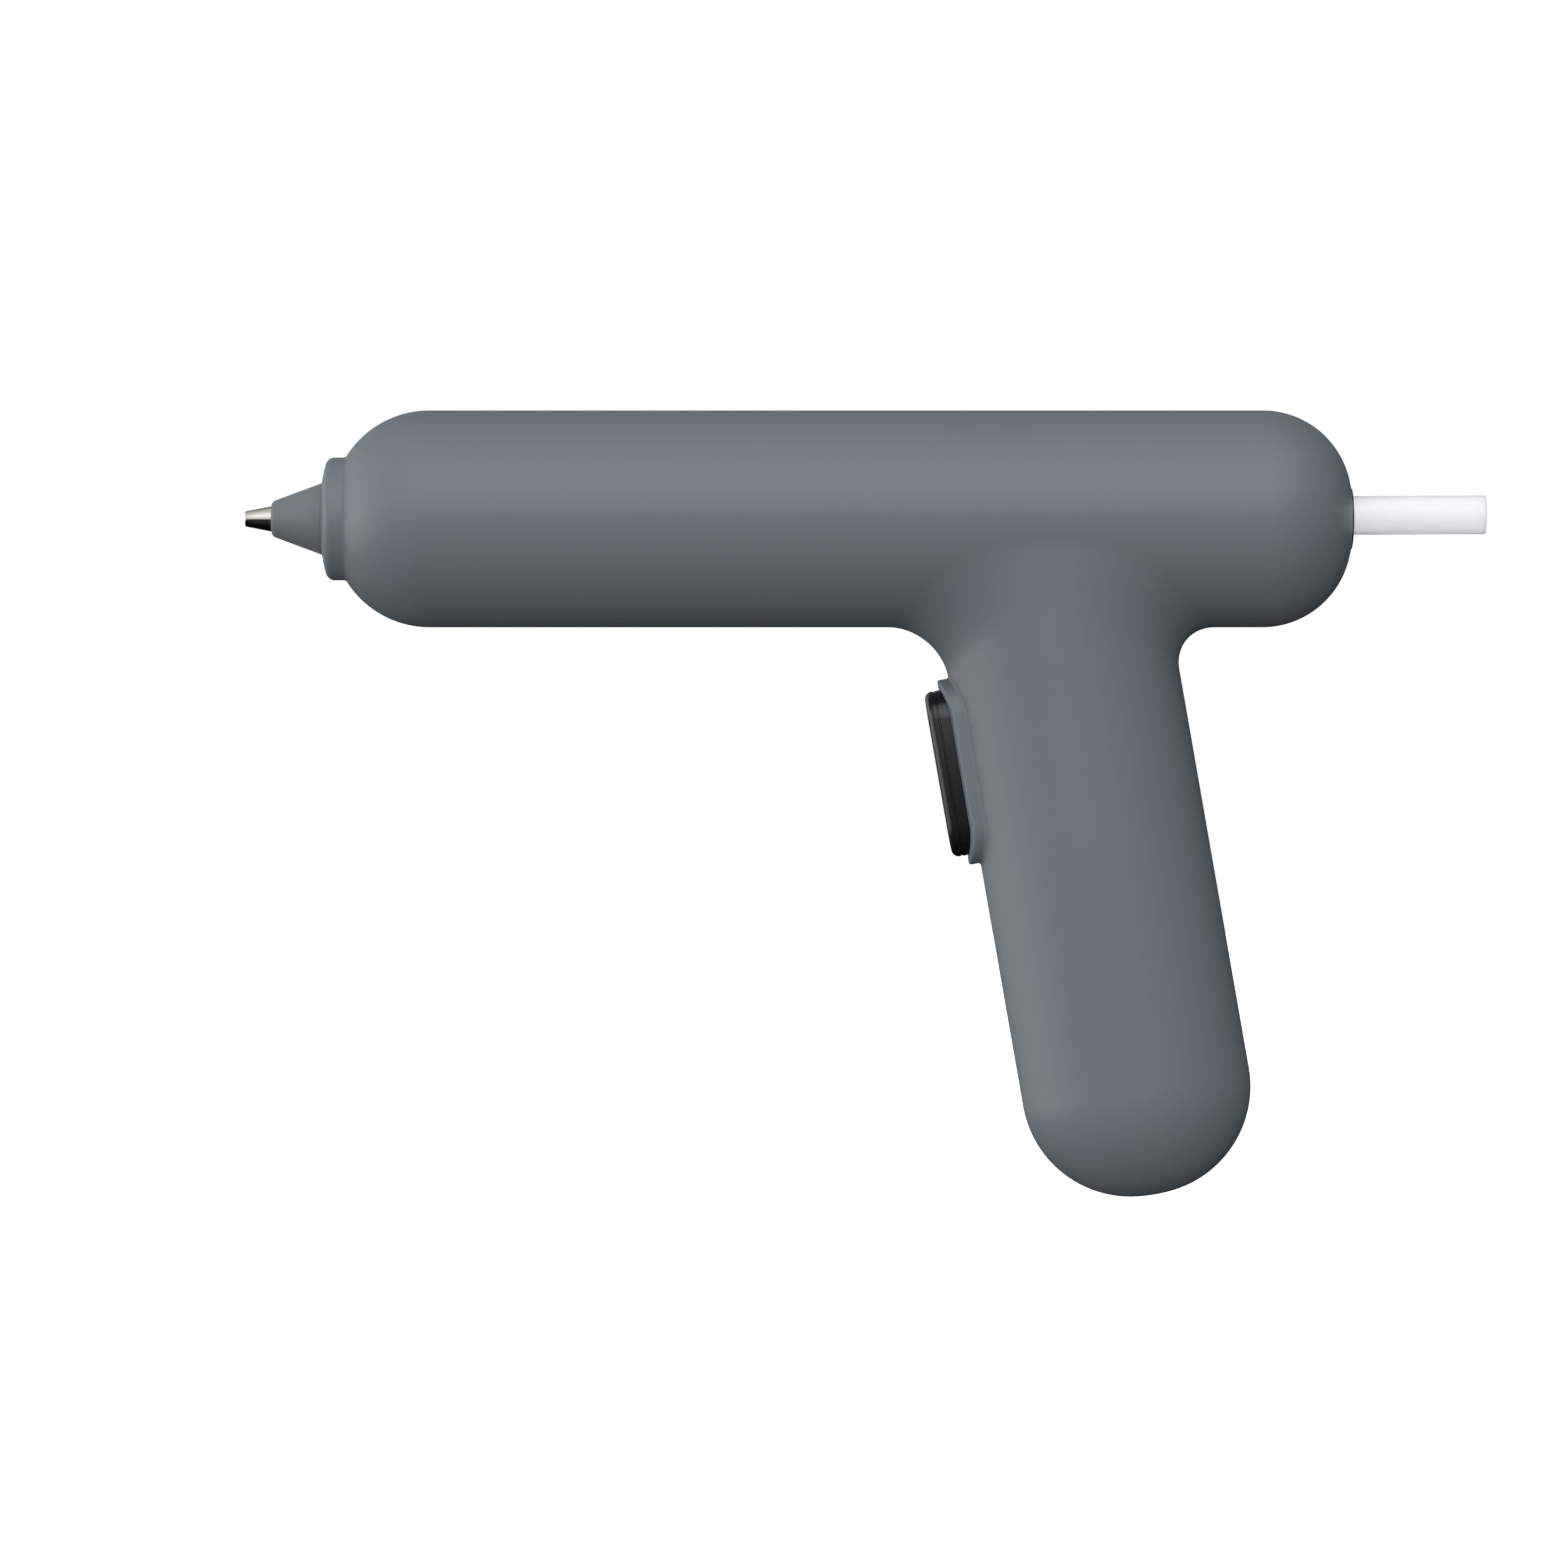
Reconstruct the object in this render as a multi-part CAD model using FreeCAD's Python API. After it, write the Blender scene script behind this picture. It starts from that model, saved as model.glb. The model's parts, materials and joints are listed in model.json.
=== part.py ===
"""Cordless mini hot-melt glue gun for 7 mm sticks: two moulded half shells around a heated melt
chamber, a trigger with its feed lever, a sliding carriage, a battery and a charging port.

Millimetres and degrees. The origin is where the handle's axis crosses the barrel's axis, on the
mid-plane. The nozzle points to -X, +Z is up, and the gun's left side faces -Y.
"In the handle frame" means before the handle's lean: X runs across the handle, -Z runs down it.
"""
import FreeCAD, Part
import math
import os
from FreeCAD import Matrix, Vector

# glue stick
stick_diameter = 7.0
stick_length = 150.0
stick_tail = 24.1
stick_rise = 0.7

# shell
barrel_diameter = 39.0
barrel_front = 126.9
barrel_rear = 56.65
front_round = 17.6
rear_round = 15.9
handle_width = 41.2
handle_depth = 37.0
handle_length = 123.3
handle_round = 19.5
handle_tilt = 9.9
front_blend = 10.0
rear_blend = 6.0
wall = 2.2

# trigger and its raised frame, placed down the handle's axis
trigger_top = 27.3
trigger_length = 30.1
trigger_width = 11.0
trigger_front = 25.4
trigger_stroke = 4.0
trigger_stop = 1.4
frame_margin = 1.9
frame_rise = 2.1

# nose
collar_radius = 11.05
collar_length = 4.05
collar_spigot = 9.55
sleeve_reach = 9.35
sleeve_front_radius = 3.2
sleeve_angle = 20.4
tip_reach = 4.7
tip_radius = 1.38
tip_angle = 11.0
orifice_radius = 0.6

# hot end
chamber_length = 42.0
chamber_wall = 2.45
inlet_spigot = 8.0
shield_gap = 3.2
shield_wall = 0.6
support_thickness = 3.0
heater_length = 20.0
heater_width = 7.0
heater_thickness = 2.0

# feed mechanism
lever_upper = 18.0
lever_lower = 12.0
carriage_mid = -2.0
carriage_length = 18.0
carriage_wall = 2.4
pawl_swing = 5.0
link_pin_radius = 1.0
carriage_pin_radius = 1.2
pivot_pin_radius = 1.5
pawl_pin_radius = 0.9

# electrics
cell_diameter = 18.3
cell_length = 65.0
cell_top = 41.2
cell_offset = 7.2
board_length = 26.0
board_width = 17.0
board_thickness = 1.6
button_x = 30.0
button_radius = 4.3
button_travel = 0.6
port_length = 8.94
port_thickness = 3.26
port_depth = 8.6

# fasteners
screw_radius = 1.3
screw_head_radius = 2.3
screw_length = 14.0
boss_radius = 3.5

# clearances
running = 0.06
fit = 0.05
slide_gap = 0.3
lead_gap = 0.6

# sizes worked out from the ones above
O = Vector(0, 0, 0)
X, Y, Z = Vector(1, 0, 0), Vector(0, 1, 0), Vector(0, 0, 1)
barrel_r = barrel_diameter / 2
cavity_r = barrel_r - wall
stick_r = stick_diameter / 2
half_width = handle_width / 2
half_depth = handle_depth / 2
far = 400.0

dome_centre = barrel_front - front_round
seat_x = -dome_centre - math.sqrt(front_round ** 2 - (collar_radius - barrel_r + front_round) ** 2)
collar_x = seat_x - collar_length
sleeve_x = collar_x - sleeve_reach
tip_x = sleeve_x - tip_reach
collar_bore = sleeve_front_radius + (sleeve_reach + 0.6) * math.tan(math.radians(sleeve_angle))
sleeve_flange = collar_spigot - 1.1

bore_r = stick_r + 0.25
chamber_r = bore_r + chamber_wall
chamber_x = seat_x + 2.5
chamber_end = chamber_x + chamber_length
spigot_r = bore_r + 1.25
spigot_end = chamber_end + inlet_spigot
shield_r = chamber_r + shield_gap
support_r = shield_r + shield_wall + 2.0
front_support_x = chamber_x + 6.0
rear_support_x = chamber_end - support_thickness
seal_r = spigot_r + 1.4
seal_end = spigot_end + 12.0

carriage_stroke = trigger_stroke * lever_upper / lever_lower
carriage_bore = stick_r + 0.6
carriage_r = carriage_bore + carriage_wall
link_drop = carriage_r + 3.0
pin_x = carriage_mid + carriage_stroke / 2
pivot = Vector(carriage_mid, 0, -link_drop - lever_upper)
carriage_x = pin_x - 15.0
lever_swing = math.degrees(trigger_stroke / lever_lower)
pawl_x = carriage_x - 2.4
pawl_pin = Vector(pawl_x - 0.8, 0, -carriage_r - 2.5)

guide_bore = stick_r + 1.0
guide_r = guide_bore + 1.1
guide_x = carriage_x + carriage_length + 8.0
ring_r = guide_r
board_y = guide_r + 5.0
button_top = barrel_r
switch_height = 2.7

cell_r = cell_diameter / 2
cradle_r = cell_r + 1.25
cell_end = cell_top + cell_length
charge_board_v = handle_length - 11.3


def box(x0, x1, y0, y1, z0, z1):
    return Part.makeBox(x1 - x0, y1 - y0, z1 - z0, Vector(x0, y0, z0))


def rod(radius, start, end):
    run = end - start
    return Part.makeCylinder(radius, run.Length, start, run)


def rod_x(radius, x0, x1, y=0.0, z=0.0):
    return rod(radius, Vector(x0, y, z), Vector(x1, y, z))


def rod_y(radius, y0, y1, x, z):
    return rod(radius, Vector(x, y0, z), Vector(x, y1, z))


def turned(edges):
    """A solid of revolution about the barrel's axis, from the edges of a closed outline in the XZ plane."""
    return Part.Face(Part.Wire(edges)).revolve(O, X, 360)


def outline(points):
    """Straight edges through (x, radius) points, closed."""
    corners = [Vector(x, 0, r) for x, r in points]
    return [Part.LineSegment(a, b).toShape() for a, b in zip(corners, corners[1:] + corners[:1])]


def join(first, *others):
    return first.multiFuse(list(others)).removeSplitter()


def lean(shape):
    """Moves a shape from the handle frame to the gun's frame."""
    shape = shape.copy()
    shape.rotate(O, Y, -handle_tilt)
    return shape


def lean_point(across, side, down):
    turn = math.radians(handle_tilt)
    return Vector(across * math.cos(turn) + down * math.sin(turn), side,
                  across * math.sin(turn) - down * math.cos(turn))


def handle_frame(point):
    """How far across the handle and how far down it a point of the gun's frame lies."""
    turn = math.radians(handle_tilt)
    return (point.x * math.cos(turn) + point.z * math.sin(turn),
            point.x * math.sin(turn) - point.z * math.cos(turn))


def slot_prism(x0, x1, width, top, bottom):
    """A round-ended bar along X in the handle frame, from top to bottom down the handle."""
    bar = box(x0, x1, -width / 2, width / 2, -bottom, -top)
    along = [e for e in bar.Edges if abs(e.tangentAt(e.FirstParameter).x) > 0.9]
    return bar.makeFillet(width / 2 - 0.01, along)


def near_side(shape, sign):
    """The part of a shape on the left (sign -1) or right (sign 1) of the mid-plane."""
    y0 = 0 if sign > 0 else -far
    return shape.common(box(-far, far, y0, y0 + far, -far, far))


def barrel_form(offset):
    """The barrel's outer form, or the same form set in by offset."""
    r = barrel_r - offset
    front, rear = front_round - offset, rear_round - offset
    x0, x1 = -barrel_front + offset, barrel_rear - offset
    diagonal = math.sqrt(0.5)
    front_mid = Vector(x0 + front * (1 - diagonal), 0, r - front * (1 - diagonal))
    rear_mid = Vector(x1 - rear * (1 - diagonal), 0, r - rear * (1 - diagonal))
    corners = [Vector(x0, 0, 0), Vector(x0, 0, r - front), Vector(x0 + front, 0, r),
               Vector(x1 - rear, 0, r), Vector(x1, 0, r - rear), Vector(x1, 0, 0)]
    return turned([
        Part.LineSegment(corners[0], corners[1]).toShape(),
        Part.Arc(corners[1], front_mid, corners[2]).toShape(),
        Part.LineSegment(corners[2], corners[3]).toShape(),
        Part.Arc(corners[3], rear_mid, corners[4]).toShape(),
        Part.LineSegment(corners[4], corners[5]).toShape(),
        Part.LineSegment(corners[5], corners[0]).toShape()])


def handle_form(offset):
    """The handle: a round-ended post turned about its axis, then narrowed from side to side."""
    r, length, end = half_width - offset, handle_length - offset, handle_round - offset
    diagonal = math.sqrt(0.5)
    mid = Vector(r - end * (1 - diagonal), 0, -length + end * (1 - diagonal))
    corners = [O, Vector(r, 0, 0), Vector(r, 0, end - length), Vector(r - end, 0, -length),
               Vector(0, 0, -length)]
    edges = [Part.LineSegment(corners[0], corners[1]).toShape(),
             Part.LineSegment(corners[1], corners[2]).toShape(),
             Part.Arc(corners[2], mid, corners[3]).toShape(),
             Part.LineSegment(corners[3], corners[4]).toShape(),
             Part.LineSegment(corners[4], corners[0]).toShape()]
    post = Part.Face(Part.Wire(edges)).revolve(O, Z, 360)
    narrow = Matrix()
    narrow.scale(1, (half_depth - offset) / r, 1)
    return lean(post.transformGeometry(narrow))


def shell_form():
    """The left half of the outer form, with the handle blended into the barrel."""
    form = join(near_side(barrel_form(0), -1), near_side(handle_form(0), -1))
    crease = [e for e in form.Edges
              if all(abs(v.Z + barrel_r) < 0.01 for v in e.Vertexes)
              and e.valueAt((e.FirstParameter + e.LastParameter) / 2).y < -1]
    starts_at_rear = crease[0].valueAt(crease[0].FirstParameter).x > 0
    radii = (rear_blend, front_blend) if starts_at_rear else (front_blend, rear_blend)
    form = form.makeFillet(*radii, crease)
    raised = slot_prism(-trigger_front, -half_width / 2, trigger_width + 2 * frame_margin,
                        trigger_top - 1.6, trigger_top + trigger_length + 1.9)
    skin = Part.makeCylinder(half_width + frame_rise, handle_length, Vector(0, 0, -handle_length))
    narrow = Matrix()
    narrow.scale(1, (half_depth + frame_rise) / (half_width + frame_rise), 1)
    pad = lean(raised.common(skin.transformGeometry(narrow)))
    return join(form, near_side(pad, -1))


def cavity_form(offset, sign):
    return join(near_side(barrel_form(offset), sign), near_side(handle_form(offset), sign))


def screw_places():
    """Where the screws cross the mid-plane."""
    front_z = shield_r + shield_wall + boss_radius + 0.15
    rear_z = cavity_r - boss_radius - 1.0
    high, low = lean_point(-12.0, 0, 70.0), lean_point(-8.5, 0, handle_length - 20.3)
    return [Vector(-100, 0, front_z), Vector(-100, 0, -front_z), Vector(38, 0, rear_z),
            Vector(38, 0, -rear_z), lean_point(8.0, 0, barrel_r + 4.2), high, low]


def inner_features(sign):
    """The ribs, rails and bosses moulded inside one half shell."""
    reach = sign * far / 4
    y0, y1 = min(0, reach), max(0, reach)
    parts = []
    for x in (front_support_x, rear_support_x):
        hoop = rod_x(barrel_r, x, x + support_thickness)
        parts.append(hoop.cut(rod_x(support_r + fit, x - 1, x + support_thickness + 1)))
    for x in (guide_x + 3.0, guide_x + 34.0):
        web = box(x, x + 1.5, y0, y1, -7, 7)
        parts.append(web.cut(rod_x(guide_r + fit, x - 1, x + 3)))
    rail_in = carriage_r + 1.5
    for z0, z1 in ((1.7, 3.2), (-3.2, -1.7)):
        near, out = sorted((sign * rail_in, reach))
        parts.append(box(carriage_x - carriage_stroke - 4, carriage_x + carriage_length + 4, near, out, z0, z1))
    for place in screw_places():
        parts.append(rod_y(boss_radius, y0, y1, place.x, place.z))
    near, out = sorted((sign * 4.8, reach))
    parts.append(rod_y(pivot_pin_radius + 2.2, near, out, pivot.x, pivot.z))
    spring_v = trigger_top + 22.7
    parts.append(lean(box(-5.0, -3.4, y0, y1, -spring_v - 4, -spring_v + 4)))
    for v in (cell_top + 12.0, cell_end - 13.0):
        hoop = box(1.0, half_width, y0, y1, -v - 1.5, -v)
        hole = rod(cradle_r + fit, Vector(cell_offset, 0, -v - 2), Vector(cell_offset, 0, -v + 1))
        parts.append(lean(hoop.cut(hole)))
    near, out = sorted((sign * 6.5, reach))
    for v in (charge_board_v - 1.3, charge_board_v + 1.3):
        parts.append(lean(box(-9, 9, near, out, -v - 1.2, -v)))
    if sign > 0:
        for x, z in ((button_x - 9, 6), (button_x + 9, -6)):
            parts.append(rod_y(1.6, board_y + board_thickness, y1, x, z))
    space = cavity_form(wall - 0.6, sign)
    return [p.common(space) for p in parts]


def shell(sign):
    """One half shell: the outer form, hollowed, with its ribs, then every opening."""
    form = shell_form() if sign < 0 else shell_form().mirror(O, Y)
    hollow = cavity_form(wall, sign).cut(box(-far, seat_x + wall, -far, far, -far, far))
    body = join(form.cut(hollow), *inner_features(sign))
    cuts = [box(-far, seat_x, -far, far, -far, far),
            rod_x(collar_spigot + fit, seat_x - 1, seat_x + wall + 0.1),
            rod_x(ring_r + fit, barrel_rear - wall - 1, barrel_rear + 1),
            rod_x(ring_r + 2.0, barrel_rear - wall - 3, barrel_rear - wall - 0.15),
            lean(slot_prism(-far / 4, -12.0, trigger_width + 2 * slide_gap,
                            trigger_top - slide_gap, trigger_top + trigger_length + slide_gap)),
            rod_y(pivot_pin_radius, -8.2, 8.2, pivot.x, pivot.z),
            port_opening()]
    for place in screw_places():
        if sign < 0:
            cuts.append(rod_y(screw_radius, 1 - screw_length, 1, place.x, place.z))
        else:
            cuts.append(rod_y(screw_radius + 0.2, -1, 5.1, place.x, place.z))
            cuts.append(rod_y(screw_head_radius + 0.2, 5.0, far / 4, place.x, place.z))
    if sign > 0:
        cuts.append(rod_y(button_radius + 1.5, board_y + 4, far / 4, button_x, 0))
    for cut in cuts:
        body = body.cut(cut)
    return max(body.Solids, key=lambda s: s.Volume)


def port_block(grow, v0, v1):
    """A round-ended prism down the handle, as long and thick as the charging port plus grow."""
    half, r = port_length / 2 + grow, port_thickness / 2 + grow
    middle = box(r - half, half - r, -r, r, -v1, -v0)
    ends = [rod(r, Vector(x, 0, -v1), Vector(x, 0, -v0)) for x in (r - half, half - r)]
    return join(middle, *ends)


def port_opening():
    return lean(port_block(0.3, handle_length - wall - 1, handle_length + 2))


def dome_inside(x):
    """The radius of the shell's inner surface in the front dome."""
    return barrel_r - front_round + math.sqrt((front_round - wall) ** 2 - (x + dome_centre) ** 2)


def front_collar():
    r, x = collar_radius, collar_x
    stop_x = seat_x + wall + 0.2
    stop_r = dome_inside(stop_x) - 0.11
    rim = [Vector(x, 0, collar_bore), Vector(x, 0, collar_bore + 0.5), Vector(x + 0.7, 0, r - 1.05),
           Vector(x + 1.2, 0, r - 0.45), Vector(x + 2.3, 0, r), Vector(seat_x, 0, r),
           Vector(seat_x, 0, collar_spigot), Vector(stop_x, 0, collar_spigot),
           Vector(stop_x, 0, stop_r), Vector(stop_x + 1.4, 0, stop_r),
           Vector(stop_x + 1.4, 0, sleeve_flange + 0.1),
           Vector(seat_x + 0.1, 0, sleeve_flange + 0.1), Vector(seat_x + 0.1, 0, collar_bore)]
    edges = [Part.LineSegment(rim[0], rim[1]).toShape(), Part.LineSegment(rim[1], rim[2]).toShape(),
             Part.Arc(rim[2], rim[3], rim[4]).toShape()]
    edges += [Part.LineSegment(a, b).toShape() for a, b in zip(rim[4:], rim[5:] + rim[:1])]
    return turned(edges)


def tip_profile_radius(x):
    return tip_radius + (x - tip_x) * math.tan(math.radians(tip_angle))


def nozzle_tip():
    shoulder = chamber_x - 3.5
    return turned(outline([
        (tip_x, orifice_radius), (tip_x, tip_radius - 0.15), (tip_x + 0.15, tip_radius),
        (shoulder, tip_profile_radius(shoulder)), (chamber_x, tip_profile_radius(shoulder)),
        (chamber_x, 3.0), (chamber_x + 5.0, 3.0), (chamber_x + 5.0, 1.6), (tip_x + 6.5, 1.6),
        (tip_x + 4.2, orifice_radius)]))


def nozzle_sleeve():
    slope = math.tan(math.radians(sleeve_angle))
    inside = [(x, tip_profile_radius(x) + fit) for x in (chamber_x - 3.5, sleeve_x)]
    neck = collar_bore - slide_gap
    neck_x = sleeve_x + (neck - sleeve_front_radius) / slope
    return turned(outline([
        (sleeve_x, inside[1][1]), (sleeve_x, sleeve_front_radius - 0.4),
        (sleeve_x + 0.25, sleeve_front_radius + 0.1), (neck_x, neck), (seat_x + 0.2, neck),
        (seat_x + 0.2, sleeve_flange), (chamber_x - 0.2, sleeve_flange), (chamber_x - 0.2, inside[0][1]),
        inside[0]]))


def melt_chamber():
    body = turned(outline([
        (chamber_x, 3.0 + fit), (chamber_x, chamber_r), (chamber_end, chamber_r), (chamber_end, spigot_r),
        (spigot_end, spigot_r), (spigot_end, bore_r), (chamber_x + 12, bore_r), (chamber_x + 8, 1.6),
        (chamber_x + 5.1, 1.6), (chamber_x + 5.1, 3.0 + fit)]))
    flat = box(heater_x() - 1, rear_support_x - 0.9, -chamber_r, chamber_r, heater_z(), far)
    return body.cut(flat)


def heater_x():
    return chamber_x + 14.0


def heater_z():
    return bore_r + 1.25


def heater_plate():
    x, z = heater_x(), heater_z()
    plate = box(x, x + heater_length, -heater_width / 2, heater_width / 2, z, z + heater_thickness)
    return plate.makeFillet(0.3, plate.Edges)


def heater_clip():
    """A sprung steel saddle that presses the heater onto the chamber."""
    x0, x1 = heater_x() + 5, heater_x() + 15
    half, top = heater_width / 2, heater_z() + heater_thickness
    inner = join(rod_x(chamber_r + fit, x0 - 1, x1 + 1), box(x0 - 1, x1 + 1, -half - fit, half + fit, 0, top + fit))
    outer = join(rod_x(chamber_r + 0.6, x0, x1), box(x0, x1, -half - 0.6, half + 0.6, 0, top + 0.6))
    return outer.cut(inner).cut(box(x0 - 2, x1 + 2, -far, far, -far, -0.6 * chamber_r))


def support(x, holes):
    ring = rod_x(support_r, x, x + support_thickness)
    ring = ring.cut(rod_x(chamber_r + fit, x - 1, x + support_thickness + 1))
    for y, z, r in holes:
        ring = ring.cut(rod_x(r, x - 1, x + support_thickness + 1, y, z))
    return ring


def lead_height():
    return chamber_r + 2.4


def front_support():
    return support(front_support_x, [])


def rear_support():
    return support(rear_support_x, [(-1.4, lead_height(), 1.0), (1.4, lead_height(), 1.0), (0, -lead_height(), 1.2)])


def heat_shield():
    x0, x1 = front_support_x + support_thickness + 0.1, rear_support_x - 0.1
    return rod_x(shield_r + shield_wall, x0, x1).cut(rod_x(shield_r, x0 - 1, x1 + 1))


def thermistor_x():
    return heater_x() + 17.5


def thermistor():
    bead = rod_x(1.0, thermistor_x(), thermistor_x() + 4, 0, -chamber_r - 1.0)
    return bead.makeFillet(0.4, bead.Edges)


def inlet_seal():
    return turned(outline([
        (chamber_end + 0.2, spigot_r + fit), (chamber_end + 0.2, seal_r), (seal_end, seal_r),
        (seal_end, stick_r + 1.0), (seal_end - 3, stick_r + 0.2), (spigot_end + 0.2, stick_r + 0.2),
        (spigot_end + 0.2, spigot_r + fit)]))


def seal_clamp():
    x = chamber_end + 2.5
    band = rod_x(seal_r + 0.7, x, x + 3).cut(rod_x(seal_r + fit, x - 1, x + 4))
    ear = box(x, x + 3, -2.0, 2.0, seal_r + 0.4, seal_r + 3.0).cut(box(x - 1, x + 4, -0.5, 0.5, seal_r - 1, far))
    clamp = join(band, *ear.Solids)
    clamp.rotate(O, X, 90)
    return clamp


def stick_slope():
    """The angle at which the loaded stick climbs towards its tail."""
    return math.degrees(math.atan(stick_rise / (barrel_rear + stick_tail / 2 - spigot_end)))


def glue_stick():
    start = barrel_rear + stick_tail - stick_length
    stick = rod_x(stick_r, start, start + stick_length)
    ends = [e for e in stick.Edges if isinstance(e.Curve, Part.Circle)]
    stick = stick.makeFillet(0.35, ends)
    stick.rotate(Vector(start, 0, 0), Y, -stick_slope())
    return stick


def stick_guide():
    end = barrel_rear - wall - 2.4
    return rod_x(guide_r, guide_x, end).cut(rod_x(guide_bore, guide_x - 1, end + 1))


def stick_inlet_ring():
    bore = stick_r + 1.0
    inner = barrel_rear - wall
    return turned(outline([
        (inner - 2.2, bore + 0.6), (inner - 2.2, ring_r + 1.9), (inner - 0.2, ring_r + 1.9), (inner - 0.2, ring_r),
        (barrel_rear - 0.15, ring_r), (barrel_rear, ring_r - 0.15), (barrel_rear, bore + 0.35),
        (barrel_rear - 0.4, bore), (inner - 1.6, bore)]))


def carriage():
    """The block that carries the stick forward, with side tongues, a rear lug and two front arms."""
    x0, x1 = carriage_x, carriage_x + carriage_length
    tongue = carriage_r + 2.8
    block = join(rod_x(carriage_r, x0, x1),
                 box(x0, x1, -tongue, tongue, -1.4, 1.4),
                 box(pin_x - 3, pin_x + 3, -2.0, 2.0, -link_drop - 2.4, -carriage_r + 1.5))
    for side in (-1, 1):
        y0, y1 = sorted((side * 2.4, side * 4.0))
        arm = join(box(pawl_pin.x - 2, x0 + 3, y0, y1, -carriage_r - 4.6, -carriage_r - 0.7),
                   box(x0, x0 + 3, y0, y1, -carriage_r - 4.6, -carriage_r + 2.2))
        block = join(block, arm)
    block = block.cut(rod_x(carriage_bore, x0 - 1, x1 + 1))
    block = block.cut(rod_y(carriage_pin_radius, -3, 3, pin_x, -link_drop))
    return block.cut(rod_y(pawl_pin_radius, -5, 5, pawl_pin.x, pawl_pin.z))


def carriage_pin():
    return rod_y(carriage_pin_radius, -4.9, 4.9, pin_x, -link_drop)


def pawl_hinge_pin():
    return rod_y(pawl_pin_radius, -4.0, 4.0, pawl_pin.x, pawl_pin.z)


def grip_pawl():
    """The plate around the stick that tips forward and bites it."""
    x0, x1 = pawl_x - 2.0, pawl_x + 0.4
    plate = join(rod_x(carriage_r - 0.2, x0, x1), box(x0, x1, -2.1, 2.1, pawl_pin.z, -stick_r),
                 rod_y(2.0, -2.1, 2.1, pawl_pin.x, pawl_pin.z))
    plate = plate.cut(rod_x(stick_r + 0.45, x0 - 1, x1 + 1, 0, 0.1))
    return plate.cut(rod_y(pawl_pin_radius + running, -3, 3, pawl_pin.x, pawl_pin.z))


def feed_lever():
    """The bent lever at mid-stroke, turned back by half its swing to where it rests."""
    boss = rod_y(3.2, -4.4, 4.4, pivot.x, pivot.z)
    tip = pivot + lean_point(0, 0, lever_lower)
    lower = box(-2.4, 2.4, -1.8, 1.8, -lever_lower - 2.6, 0)
    lower = lower.cut(box(-link_pin_radius - running, link_pin_radius + running, -2, 2,
                          -lever_lower - 1.5, -lever_lower + 1.5))
    lower = lean(lower)
    lower.translate(pivot)
    lever = join(boss, lower)
    for side in (-1, 1):
        y0, y1 = sorted((side * 2.4, side * 4.4))
        arm = box(pivot.x - 2.8, pivot.x + 2.8, y0, y1, pivot.z, pivot.z + lever_upper + 2.4)
        open_slot = box(pivot.x - carriage_pin_radius - running, pivot.x + carriage_pin_radius + running,
                        y0 - 1, y1 + 1, pivot.z + lever_upper - 1.8, pivot.z + lever_upper + 4)
        lever = join(lever, arm.cut(open_slot))
    lever = lever.cut(rod_y(pivot_pin_radius + running, -5, 5, pivot.x, pivot.z))
    lever.rotate(pivot, Y, lever_swing / 2)
    return lever


def lever_pivot_pin():
    return rod_y(pivot_pin_radius, -8.0, 8.0, pivot.x, pivot.z)


def link_place():
    """Where the trigger's cross pin rests, in the handle frame."""
    across, down = handle_frame(pivot)
    return across - trigger_stroke / 2, down + lever_lower


def trigger_stop_x():
    """Where the trigger's flange stops against the inside of the handle's front."""
    side = (trigger_width / 2 + trigger_stop) / (half_depth - wall)
    return 0.27 - (half_width - wall) * math.sqrt(1 - side ** 2)


def trigger():
    across, down = link_place()
    bottom = trigger_top + trigger_length
    stop_x = trigger_stop_x()
    button = slot_prism(-trigger_front, stop_x, trigger_width, trigger_top, bottom)
    front_edges = [e for e in button.Edges if e.BoundBox.XMax < -trigger_front + 0.01]
    button = button.makeFillet(1.0, front_edges)
    flange = slot_prism(stop_x, stop_x + 1.4, trigger_width + 2 * trigger_stop, trigger_top - 1.2, bottom + 1.2)
    body = join(button, flange)
    for side in (-1, 1):
        y0, y1 = sorted((side * 2.2, side * 4.2))
        body = join(body, box(stop_x - 0.6, across + 2.4, y0, y1, -down - 2.6, -down + 2.6))
    body = body.cut(rod(3.6, Vector(-19.0, 0, -spring_place()), Vector(0, 0, -spring_place())))
    body = body.cut(rod_y(link_pin_radius, -5, 5, across, -down))
    return lean(body)


def trigger_link_pin():
    across, down = link_place()
    return lean(rod_y(link_pin_radius, -4.2, 4.2, across, -down))


def spring_place():
    return trigger_top + 22.7


def trigger_spring():
    wire, coil, turns = 0.35, 2.9, 6.0
    start, end = -19.0 + wire + 0.05, -5.0 - wire - 0.05
    helix = Part.makeHelix((end - start) / turns, end - start, coil)
    section = Part.Wire(Part.makeCircle(wire, Vector(coil, 0, 0), Y))
    spring = Part.Wire(helix.Edges).makePipeShell([section], True, True)
    spring.rotate(O, Y, 90)
    spring.translate(Vector(start, 0, -spring_place()))
    return lean(spring)


def main_board():
    y = board_y
    return box(button_x - board_length / 2 + 1.5, button_x + board_length / 2 + 0.5, y, y + board_thickness,
               -board_width / 2, board_width / 2)


def board_parts():
    """The coil and the chips on the side of the board that faces the stick."""
    y = board_y
    coil = rod_y(2.8, y - 3.0, y - 0.02, button_x + 8, 0.5)
    chips = [box(button_x - 9, button_x - 4, y - 1.2, y - 0.02, 1, 6),
             box(button_x - 8, button_x - 3, y - 1.0, y - 0.02, -6, -2)]
    return Part.makeCompound([coil.makeFillet(0.5, [coil.Edges[0]])] + chips)


def power_switch():
    y0 = board_y + board_thickness
    case = box(button_x - 3, button_x + 3, y0 + 0.02, y0 + switch_height, -3, 3)
    return case.cut(rod_y(1.6, y0 + 0.9, far / 4, button_x, 0))


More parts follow.
